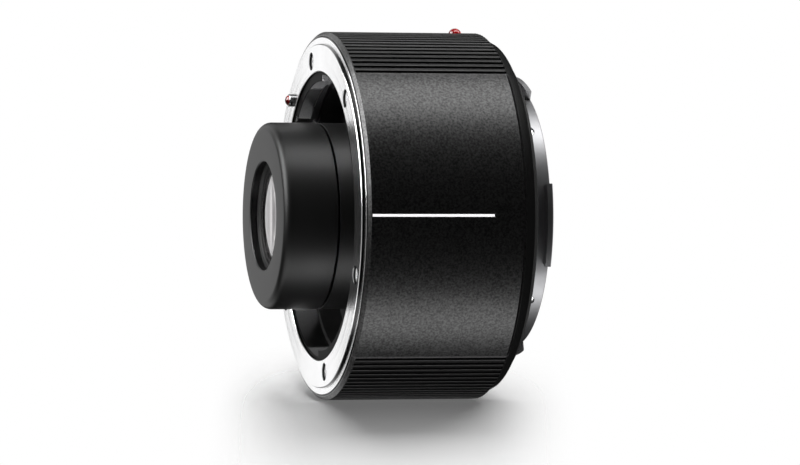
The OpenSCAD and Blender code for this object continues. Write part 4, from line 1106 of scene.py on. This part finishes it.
class TELECONVERTER_OT_front_ring(bpy.types.Operator):
    """Make the bright front ring and its screws"""

    bl_idname = "teleconverter.front_ring"
    bl_label = "Front ring"
    bl_options = {"REGISTER", "UNDO"}

    def execute(self, context):
        """The ring is turned, then its screw seats and the lock pin's hole are cut."""
        bevel, step = 0.15, SEAT + 0.55
        rows = [(SEAT, RING_BORE + bevel), (SEAT, RING_STEP - bevel), (SEAT + bevel, RING_STEP),
                (step, RING_STEP), (step, RING_RIM - bevel), (step + bevel, RING_RIM),
                (RING_BACK, RING_RIM), (RING_BACK, RING_BORE), (SEAT + bevel, RING_BORE)]
        ring = turned("front_ring", rows)
        cutters = []
        for clock in FRONT_SCREWS:
            cutters.append(drill(SEAT - 1, SEAT + 1.3, 1.75, FRONT_SCREW_CIRCLE, clock))
            cutters.append(drill(SEAT, SEAT + 3, 0.85, FRONT_SCREW_CIRCLE, clock))
        cutters.append(drill(SEAT - 1, SEAT + 3, 1.3, LOCK_CIRCLE, LOCK_CLOCK))
        join_shapes(ring, cutters, "DIFFERENCE")
        break_edges(ring, settings().mount.edge)
        fit(ring, "front_chrome", "converter", "front_mount_ring")
        turns = 3.7
        points = [(clock_point(SEAT + 0.4, FRONT_SCREW_CIRCLE, c), math.radians(c * turns))
                  for c in FRONT_SCREWS]
        screws = grow("front_screws", point_tree(), screw(1.65, 0.9, 0.75, 3.9), "screw_zinc", points)
        stand_for(screws, "converter", "front_mount_screws")
        return {"FINISHED"}


class TELECONVERTER_OT_throat(bpy.types.Operator):
    """Make the claws and the stop pin, and dress the throat"""

    bl_idname = "teleconverter.throat"
    bl_label = "Throat and claws"
    bl_options = {"REGISTER", "UNDO"}

    def execute(self, context):
        """The collar is turned with four claws that reach inwards."""
        collar, outer, flange = 27.3, 27.85, 28.6
        inner = {None: collar, "claw": 26.0}
        claw_back, flange_back, back = SEAT + 3.1, SEAT + 3.2, SEAT + 5.0
        rows = [(CLAW_FACE, inner), (CLAW_FACE, outer), (RING_BACK, outer), (RING_BACK, flange),
                (flange_back, flange), (flange_back, outer), (back, outer), (back, collar),
                (claw_back, collar), (claw_back, inner)]
        sectors = [(CLAW_CLOCK + 90 * i, CLAW_HALF, "claw") for i in range(4)]
        claws = turned("claw_collar", rows, columns_round(sectors))
        fit(break_edges(claws, 0.14 * MM), "claw_black", "converter", "bayonet_claw_ring")
        start, end, half = 3.9, 6.45, 0.35
        rows = [(start, 0), (start, half - 0.1), (start + 0.1, half), (end, half), (end, 0)]
        pin = rod("stop_peg", rows, clock_point(SEAT, 26.9, STOP_CLOCK), segments=24)
        fit(smooth(pin), "spring_steel", "converter", "stop_pin")
        dress("spring_steel", "claw_leaf_springs")
        dress("cast_alloy", "front_housing", "body_frame")
        return {"FINISHED"}


class TELECONVERTER_OT_release(bpy.types.Operator):
    """Make the lock pin, the release knob and their return spring"""

    bl_idname = "teleconverter.release"
    bl_label = "Lock and release"
    bl_options = {"REGISTER", "UNDO"}

    def execute(self, context):
        """The pin, its red tip and the ridged knob move together."""
        at = clock_point(SEAT, LOCK_CIRCLE, LOCK_CLOCK)
        top, step, end, half, tail = -1.0, 3.9, 6.5, 1.25, 0.8
        rows = [(top, 0), (top, half - 0.2), (top + 0.06, half - 0.08), (top + 0.18, half), (step, half),
                (step, tail), (end, tail), (end, 0)]
        fit(smooth(rod("lock_peg", rows, at)), "pin_steel", "release", "lock_pin")
        half = 0.95
        rows = dome_rows(top - 0.15, half, -0.45, 10)[::-1] + [(top, half), (top, 0)]
        fit(smooth(rod("lock_peg_tip", rows, at), 40), "red_enamel", "release", "lock_pin_tip")
        self.knob()
        dress("spring_steel", "release_plate")
        self.spring(settings().release)
        return {"FINISHED"}

    def knob(self):
        """The knob is a ridged slider on a stem, held by a screw."""
        top, low, half = 37.05, 35.75, 4.0
        start, end = start_of("release_knob"), end_of("release_knob")
        count, margin, width, depth, slope = 6, 0.55, 0.5, 0.4, 0.06
        step = (end - start - 2 * margin - width) / (count - 1)
        rows = [(start, low), (start, top)]
        for i in range(count):
            groove = start + margin + i * step
            rows += [(groove, top), (groove + slope, top - depth), (groove + width - slope, top - depth),
                     (groove + width, top)]
        rows += [(end, top), (end, low)]
        angle = math.degrees(half / ((top + low) / 2))
        knob = turned("release_slider", rows, columns_across(KNOB_CLOCK, angle, 16), False)
        stem_start, stem_end = SEAT + 3.9, SEAT + 6.5
        middle, beyond = (stem_start + stem_end) / 2, 38
        join_shapes(knob, [block(stem_start, stem_end, 2.6, 32.4, 36.0, KNOB_CLOCK)], "UNION")
        bores = [drill_inwards(middle, 0.55, 31, beyond, KNOB_CLOCK),
                 drill_inwards(middle, 1.05, 35.95, beyond, KNOB_CLOCK)]
        join_shapes(knob, bores, "DIFFERENCE")
        fit(break_edges(knob, 0.08 * MM, 2), "knob_plastic", "release", "release_knob")
        head = stand_up(screw(1.0, 0.5, 0.5, 6.3), middle, 36.45)
        head.data.transform(Matrix.Rotation(math.radians(KNOB_CLOCK), 4, "X"))
        head.name = "slider_screw"
        fit(head, "screw_black", "release", "release_knob_screw")

    def spring(self, size):
        """The return spring sits between the plate and the housing's floor."""
        low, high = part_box("release_spring")
        wire = size.wire / 2
        coil = grow("return_spring", spring_tree(), None, "spring_steel", Turns=size.turns,
                    Radius=(high.y - low.y) / 2 - wire, Height=high.x - low.x - 2 * wire, Wire=wire)
        middle = (low + high) / 2
        coil.data.transform(Matrix.Rotation(math.radians(90), 4, "Y"))
        coil.data.transform(Matrix.Translation((low.x + wire, middle.y, middle.z)))
        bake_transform(smooth(coil, 60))
        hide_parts("release_spring")


class TELECONVERTER_OT_nose(bpy.types.Operator):
    """Make the nose cap, the lens tube and the two retainers"""

    bl_idname = "teleconverter.nose"
    bl_label = "Nose"
    bl_options = {"REGISTER", "UNDO"}

    def execute(self, context):
        """All are turned; the cap has a generous round at its front edge."""
        bore, wall, outer, edge = 10.5, 16.6, 18.0, 1.6
        face, back = NOSE + 1.4, SEAT - 0.45
        rows = [(NOSE + 0.2, bore), (NOSE, bore + 0.2)]
        rows += arc_rows(NOSE + edge, outer - edge, edge, 180, 90, 10)
        rows += [(back - 0.15, outer), (back, outer - 0.15), (back, wall), (face, wall), (face, bore)]
        cap = turned("nose_shell", rows)
        fit(break_edges(cap, 0.05 * MM, 2, 42), "nose_satin", "converter", "nose_cap")
        self.tube(face + 0.025, wall - 0.05, outer - 0.05)
        dress("light_trap", "front_spacer", "rear_spacer", "tube_lock_ring")
        dress("screw_black", "tube_screws", "housing_screws")
        start, end, keeper = start_of("rear_retainer"), end_of("rear_retainer"), BACK_GLASS
        rows = [(start, keeper - 1.1), (start, keeper), (end, keeper), (end, keeper - 0.75)]
        ring = break_edges(turned("rear_keeper", rows), 0.05 * MM, 2)
        fit(ring, "light_trap", "converter", "rear_retainer")
        return {"FINISHED"}

    def tube(self, front, neck, outer):
        """The tube has a parting groove at the cap and an inner shoulder between the groups."""
        gap, shoulder, keeper, tail, end = 0.025, 9.8, 11.4, 15.5, -0.6
        seat, groove = front + 0.7, SEAT - 0.08
        stop_front = end_of("second_group_rear") - sag(GLASS["second_group_rear"][3], shoulder) + 0.01
        stop_rear = start_of("third_group_front") + sag(GLASS["third_group_front"][2], shoulder) - 0.01
        front_bore, rear_bore = FRONT_GLASS + gap, BACK_GLASS + gap
        rows = [(front, keeper), (front, neck), (groove, neck), (groove, outer), (FLOOR, outer),
                (FLOOR, tail), (end, tail), (end, rear_bore), (stop_rear, rear_bore), (stop_rear, shoulder),
                (stop_front, shoulder), (stop_front, front_bore), (seat, front_bore), (seat, keeper)]
        tube = turned("lens_barrel", rows)
        fit(break_edges(tube, 0.06 * MM, 2), "tube_satin", "converter", "lens_tube")
        rim, back = keeper - 0.05, front + 0.65
        rows = [(front, 10.15), (front, rim), (back, rim), (back, shoulder)]
        ring = break_edges(turned("front_keeper", rows), 0.05 * MM, 2)
        fit(ring, "light_trap", "converter", "front_retainer")


class TELECONVERTER_OT_glass(bpy.types.Operator):
    """Make the glass elements"""

    bl_idname = "teleconverter.glass"
    bl_label = "Glass"
    bl_options = {"REGISTER", "UNDO"}

    def execute(self, context):
        """Each element is turned from its two curves."""
        for node, (thickness, radius, front, rear, look) in GLASS.items():
            vertex = start_of(node) - min(0, sag(front, radius))
            rows = lens_rows(vertex, thickness, radius, front, rear)
            lens = turned(node + "_lens", rows, columns_round((), 128))
            fit(smooth(lens, 30), look, "converter", node)
        return {"FINISHED"}


class TELECONVERTER_OT_rear_mount(bpy.types.Operator):
    """Make the rear mount, its screws and the baffle"""

    bl_idname = "teleconverter.rear_mount"
    bl_label = "Rear mount"
    bl_options = {"REGISTER", "UNDO"}

    def execute(self, context):
        """The mount is turned with its tabs, then its screw seats are cut."""
        bore, recess, flange, tab, bevel = 23.6, 27.5, 31.0, 27.2, 0.15
        outer = {None: NECK, "tab": tab}
        end = {None: NECK - bevel, "tab": tab - bevel}
        back, step, tab_face = -1.6, -0.3, 3.35
        rows = [(back, bore), (back, flange), (-bevel, flange), (0, flange - bevel), (0, recess),
                (step, recess), (step, NECK), (tab_face, NECK), (tab_face, outer),
                (MOUNT_END - bevel, outer), (MOUNT_END, end), (MOUNT_END, bore)]
        mount = turned("rear_bayonet_mount", rows, columns_round([(c, w / 2, "tab") for c, w in TABS]))
        cutters = [drill(-3, 1, 1.4, REAR_SCREW_CIRCLE, CAMERA_LOCK_CLOCK)]
        for clock in REAR_SCREWS:
            cutters.append(drill(-0.95, 1, 1.5, REAR_SCREW_CIRCLE, clock))
            cutters.append(drill(-3, 0, 0.85, REAR_SCREW_CIRCLE, clock))
        neck_x = 1.85
        for clock in BAFFLE_SCREWS:
            cutters.append(drill_inwards(neck_x, 1.1, 24.65, 26, clock))
            cutters.append(drill_inwards(neck_x, 0.7, 22, 25, clock))
        join_shapes(mount, cutters, "DIFFERENCE")
        break_edges(mount, settings().mount.edge)
        fit(mount, "rear_chrome", "converter", "rear_mount")
        tree, turns = point_tree(), 2.3
        points = [(clock_point(-0.2, REAR_SCREW_CIRCLE, c), math.radians(c * turns)) for c in REAR_SCREWS]
        screws = grow("rear_screws", tree, screw(1.4, 0.75, 0.75, 3.15, -1), "screw_steel", points)
        stand_for(screws, "converter", "rear_mount_screws")
        radial = stand_up(screw(1.05, 0.5, 0.6, 2.3), neck_x, 25.2)
        points = [(Vector(), math.radians(c)) for c in BAFFLE_SCREWS]
        screws = grow("neck_screws", tree, radial, "screw_steel", points)
        stand_for(screws, "converter", "baffle_screws")
        self.baffle()
        dress("shim_brass", "mount_shim")
        return {"FINISHED"}

    def baffle(self):
        """The baffle has a window with round corners and a slot for the contacts."""
        rim, wall, start, face, end = 23.5, 22.3, -1.4, 2.5, 3.7
        middle = 5
        rows = [(start, rim), (end, rim), (end, middle), (face, middle), (face, wall), (start, wall)]
        baffle = turned("rear_light_baffle", rows)
        half_y, half_z, corner, near, far = 12, 8, 3, face - 1, end + 1
        outline = []
        for side_y, side_z, turn in ((1, 1, 0), (-1, 1, 90), (-1, -1, 180), (1, -1, 270)):
            outline += [(side_y * half_y + y, side_z * half_z + z)
                        for y, z in arc_rows(0, 0, corner, turn, turn + 90, 8)]
        window = prism("window", [(near, y, z) for y, z in outline], [(far, y, z) for y, z in outline])
        low, high = CONTACT_CIRCLE - 0.8, CONTACT_CIRCLE + 0.8
        slot = turned("slot", [(near, low), (far, low), (far, high), (near, high)],
                      columns_across(CONTACT_CLOCK, 30.4, 40), False)
        join_shapes(baffle, [window, slot], "DIFFERENCE")
        fit(break_edges(baffle, 0.1 * MM), "baffle_plastic", "converter", "rear_baffle")


class TELECONVERTER_OT_contacts(bpy.types.Operator):
    """Make the contacts of both mounts"""

    bl_idname = "teleconverter.contacts"
    bl_label = "Contacts"
    bl_options = {"REGISTER", "UNDO"}

    def execute(self, context):
        """Sleeves and pads repeat in a row; each sprung contact is a piece of its own."""
        first = CONTACT_CLOCK - (CONTACT_COUNT - 1) / 2 * CONTACT_STEP
        self.contact_rows(row_tree(), math.radians(first), math.radians(CONTACT_STEP))
        tip, shank, collar, end = 0.36, 0.325, 0.46, 1.725
        rows = arc_rows(-0.44, 0, tip, 180, 90, 9)
        rows += [(shank, tip), (shank, collar), (end, collar), (end, 0)]
        for i in range(CONTACT_COUNT):
            at = clock_point(SLEEVE_TOP, CONTACT_CIRCLE, first + i * CONTACT_STEP)
            peg = rod(f"contact_peg_{i + 1}", rows, at, segments=24)
            fit(smooth(peg), "gold_plate", f"plunger_{i + 1}", f"contact_plunger_{i + 1}")
        dress("contact_plastic", "front_contact_block", "rear_contact_block")
        dress("screw_black", "contact_block_screws", "board_screws")
        dress("solder_mask", "circuit_board")
        dress("chip_plastic", "board_chips")
        dress("flex_film", "flex_cable")
        return {"FINISHED"}

    def contact_rows(self, tree, first, step):
        """One sleeve and one pad, each repeated along its row."""
        mouth, bore, outer, floor, end = 0.41, 0.51, 0.75, 5.1, 5.6
        sleeve = [(0, mouth), (0, outer - 0.13), (0.04, outer - 0.04), (0.12, outer), (end, outer), (end, 0),
                  (floor, 0), (floor, bore), (0.3, bore), (0.3, mouth), (0, mouth)]
        half, back, face = 0.65, 2.8, 3.15
        pad = [(back, 0), (back, half), (face - 0.06, half), (face - 0.02, half - 0.04), (face, half - 0.1),
               (face, 0)]
        for name, shape, rows, x, node in (
                ("contact_cups", "sleeve", sleeve, SLEEVE_TOP, "contact_sleeves"),
                ("contact_pads", "pad", pad, 0, "rear_contact_pads")):
            pattern = smooth(rod(shape, rows, clock_point(x, CONTACT_CIRCLE, 0), segments=28))
            row = grow(name, tree, pattern, "gold_plate", Count=CONTACT_COUNT, Rows=1, First=first, Step=step)
            stand_for(row, "converter", node)


class TELECONVERTER_OT_stage(bpy.types.Operator):
    """Make the floor, the lamps, the world and the camera"""

    bl_idname = "teleconverter.stage"
    bl_label = "Stage"
    bl_options = {"REGISTER", "UNDO"}

    def execute(self, context):
        """A white room that is dark behind the camera, with softboxes above and below."""
        scene, stage = context.scene, settings().stage
        scene.view_settings.view_transform = "Standard"
        self.world(scene)
        self.floor()
        self.boxes(stage)
        self.panels(stage)
        self.snoots(stage)
        self.camera(scene, stage)
        return {"FINISHED"}

    def boxes(self, stage):
        """Softboxes above, below and behind, and a pair of their own for the nose."""
        for name, state, x in (("softbox", "EXCLUDE", 0.22), ("nose", "INCLUDE", 0.10)):
            pair = (self.softbox(name + "_above", (x, -0.11, 0.46), (x, 0, 0), (0.8, 0.24), stage.key),
                    self.softbox(name + "_below", (0.02, -0.19, -0.44), (0.02, 0, 0), (0.8, 0.22), stage.low))
            self.aim_at(pair, state, *NOSE_PIECES)
            if state == "INCLUDE":
                for lamp in pair:
                    lamp.light_linking.blocker_collection = lamp.light_linking.receiver_collection
                    lamp.data.cycles.use_multiple_importance_sampling = False
        self.softbox("softbox_back", (0.20, 0.33, 0.43), (0, 0, 0), (0.8, 0.16), stage.back)

    def panels(self, stage):
        """Panels that metal and glass reflect, and a fill by the camera that adds no gloss."""
        left = self.softbox("panel_left", (-0.56, 0.04, 0.31), (-0.03, 0, 0), (0.5, 0.5), stage.side)
        low = self.softbox("panel_low", (-0.42, -0.06, -0.48), (-0.03, 0, 0), (0.3, 0.3), stage.under)
        left.visible_diffuse = low.visible_diffuse = False
        self.aim_at((left, low), "EXCLUDE", *(node + "_lens" for node in GLASS))
        fill = self.softbox("front_fill", (0.03, -0.92, -0.36), (-0.02, 0, 0), (0.6, 0.4), stage.fill)
        fill.visible_glossy = False
        rear = self.softbox("panel_rear", (0.62, 0.10, 0.02), (0, 0, 0), (0.9, 0.7), stage.ends)
        self.aim_at((rear,), "EXCLUDE", "table", "barrel_shell", "grip_ribs", "rear_cover")
        front = self.softbox("panel_front", (-0.62, 0.14, -0.05), (0, 0, 0), (0.9, 0.8), stage.ends)
        self.aim_at((front,), "INCLUDE", "front_ring", "front_screws")
        glass = self.softbox("panel_glass", (-0.08, 0.9, 0), (-0.04, 0, 0), (1.6, 1.2), stage.glow)
        self.aim_at((glass,), "INCLUDE", "front_element_lens")

    def snoots(self, stage):
        """Narrow spots of light that reach only the throat."""
        to = Vector((SEAT * MM, 0.012, 0))
        made = []
        for name, height, share in (("snoot_high", 0.27, 1.0), ("snoot_low", -0.27, 0.6)):
            at = Vector((-0.19, -0.52, height))
            lamp = bpy.data.lights.new(name, "SPOT")
            lamp.spot_size, lamp.spot_blend = math.radians(6.5), 0.4
            lamp.shadow_soft_size = 0.02
            lamp.energy = stage.snoot * share * 4 * math.pi * (to - at).length_squared * math.pi
            made.append(self.hang(name, lamp, at, to))
            made[-1].visible_glossy = False
        self.aim_at(made, "EXCLUDE", "table", "barrel_shell", "grip_ribs", "index_line", "index_dome_cap",
                    "front_ring", "lock_peg", "lock_peg_tip", *NOSE_PIECES)

    def softbox(self, name, at, to, size, brightness):
        """An area lamp of a given brightness that faces a point."""
        lamp = bpy.data.lights.new(name, "AREA")
        lamp.shape = "RECTANGLE"
        lamp.size, lamp.size_y = size
        lamp.energy = brightness * math.pi * size[0] * size[1]
        made = self.hang(name, lamp, Vector(at), Vector(to))
        made.visible_camera = False
        return made

    def hang(self, name, data, at, to):
        """A lamp or camera at one point that faces another."""
        made = place(name, data)
        made.location = at
        made.rotation_euler = (to - at).to_track_quat("-Z", "Y").to_euler()
        return made

    def aim_at(self, lamps, state, *names):
        """Let lamps light only these objects, or all but these."""
        group = bpy.data.collections.new("lit")
        for name in names:
            group.objects.link(bpy.data.objects[name])
        for entry in group.collection_objects:
            entry.light_linking.link_state = state
        for lamp in lamps:
            lamp.light_linking.receiver_collection = group

    def world(self, scene):
        """White for the camera, with a bright wall behind the object and a dark room around it."""
        dark, bright = 0.014, 1.12
        world = bpy.data.worlds.new("studio")
        world.use_nodes = True
        scene.world = world
        g = Graph(world.node_tree)
        way = g.node("ShaderNodeTexCoord", {}, {}, "Generated")
        x, y, z = g.xyz(way)
        level = g.clamp(z.maths("ABSOLUTE"), 0.55, 0.85, 1.0, 0.1, True)
        width = g.clamp(x, -0.50, -0.36, 0.0, 1.0, True) * g.clamp(x, -0.16, -0.02, 1.0, 0.0, True)
        wall = dark + g.clamp(y, 0.4, 0.8, 0.0, bright, True) * width * level
        rays = g.node("ShaderNodeLightPath", {}, {}, "Is Camera Ray")
        soft = g.part(rays, "Is Diffuse Ray")
        bent = g.part(rays, "Is Transmission Ray")
        aside = g.clamp(y, 0.4, 0.8, 0.5, 0.0)
        strength = rays + (1 - rays) * wall * (1 - soft * 0.6) * (1 - bent * 0.8) + bent * aside
        back = g.node("ShaderNodeBackground", {}, {"Color": (1, 1, 1, 1), "Strength": strength})
        g.node("ShaderNodeOutputWorld", {}, {"Surface": back})

    def floor(self):
        """A pale table that rises behind, falls away towards the camera and fades out at its rim."""
        columns, rows = 40, 64
        left, width, back, depth = -0.108, 0.18, 0.031, 0.081
        height, curve = -0.0358, 12.0
        points, faces = [], []
        for i in range(rows + 1):
            y = back - depth * i / rows
            rise = curve * y * abs(y)
            points += [(left + width * j / columns, y, height + rise) for j in range(columns + 1)]
        for i in range(rows):
            for j in range(columns):
                k = i * (columns + 1) + j
                faces.append((k, k + columns + 1, k + columns + 2, k + 1))
        table = solid("table", points, faces)
        table.data.materials.append(self.table_white())
        table.visible_glossy = False
        table.visible_shadow = False

    def table_white(self):
        """White paper that glows a little and is clear towards its rim."""
        lean, middle = 0.274, 0.0194
        f = Finish("table_white")
        paper = f.noise(900, 3.0)
        tone = f.blend(paper, (0.88, 0.88, 0.88), (0.90, 0.90, 0.90))
        white = f.node("ShaderNodeBsdfDiffuse", {}, {"Color": tone})
        glow = f.node("ShaderNodeEmission", {}, {"Color": (1, 1, 1, 1), "Strength": 0.12})
        white = f.node("ShaderNodeAddShader", {}, {0: white, 1: glow})
        clear = f.node("ShaderNodeBsdfTransparent")
        across = f.clamp((f.x - f.y * lean + middle).maths("ABSOLUTE"), 0.017, 0.037, 1.0, 0.0, True)
        behind = f.clamp(f.y, 0.006, 0.030, 1.0, 0.0, True)
        before = f.clamp(f.y, -0.049, -0.028, 0.0, 1.0, True)
        mixed = f.node("ShaderNodeMixShader", {}, {0: across * behind * before, 1: clear, 2: white})
        f.node("ShaderNodeOutputMaterial", {}, {"Surface": mixed})
        return f.material

    def camera(self, scene, stage):
        """A long lens at the height of the optical axis."""
        data = bpy.data.cameras.new("camera")
        data.lens, data.sensor_width = stage.lens, 36
        data.clip_start, data.clip_end = 0.05, 10
        aim = Vector(stage.aim)
        back = Vector((-math.sin(stage.turn), -math.cos(stage.turn), 0))
        scene.camera = self.hang("camera", data, aim + back * stage.distance, aim)


OPERATORS = (TELECONVERTER_OT_barrel, TELECONVERTER_OT_ribs, TELECONVERTER_OT_front_ring,
             TELECONVERTER_OT_throat, TELECONVERTER_OT_release, TELECONVERTER_OT_nose,
             TELECONVERTER_OT_glass, TELECONVERTER_OT_rear_mount, TELECONVERTER_OT_contacts,
             TELECONVERTER_OT_stage)


class TELECONVERTER_PT_looks(bpy.types.Panel):
    """Lists the settings and the operators"""

    bl_idname = "TELECONVERTER_PT_looks"
    bl_label = "Teleconverter"
    bl_space_type = "VIEW_3D"
    bl_region_type = "UI"
    bl_category = "Teleconverter"

    def draw(self, context):
        """Draws each group of settings, then the operators."""
        look = context.scene.teleconverter
        for group in (look.barrel, look.mount, look.release, look.lens, look.stage):
            box = self.layout.box()
            for key in group.bl_rna.properties.keys():
                if key not in ("rna_type", "name"):
                    box.prop(group, key)
        for operator in OPERATORS:
            self.layout.operator(operator.bl_idname)


CLASSES = (BarrelSettings, MountSettings, ReleaseSettings, LensSettings, StageSettings, ConverterSettings,
           *OPERATORS, TELECONVERTER_PT_looks)


def register():
    """Registers the classes and the scene's settings."""
    for item in CLASSES:
        bpy.utils.register_class(item)
    bpy.types.Scene.teleconverter = bpy.props.PointerProperty(
        type=ConverterSettings, name="Teleconverter", description="Settings of the teleconverter's looks")


def unregister():
    """Removes the scene's settings and the classes."""
    del bpy.types.Scene.teleconverter
    for item in reversed(CLASSES):
        bpy.utils.unregister_class(item)


def main():
    """Makes every piece in order."""
    register()
    make = bpy.ops.teleconverter
    make.barrel()
    make.ribs()
    make.front_ring()
    make.throat()
    make.release()
    make.nose()
    make.glass()
    make.rear_mount()
    make.contacts()
    make.stage()


if __name__ == "__main__":
    main()
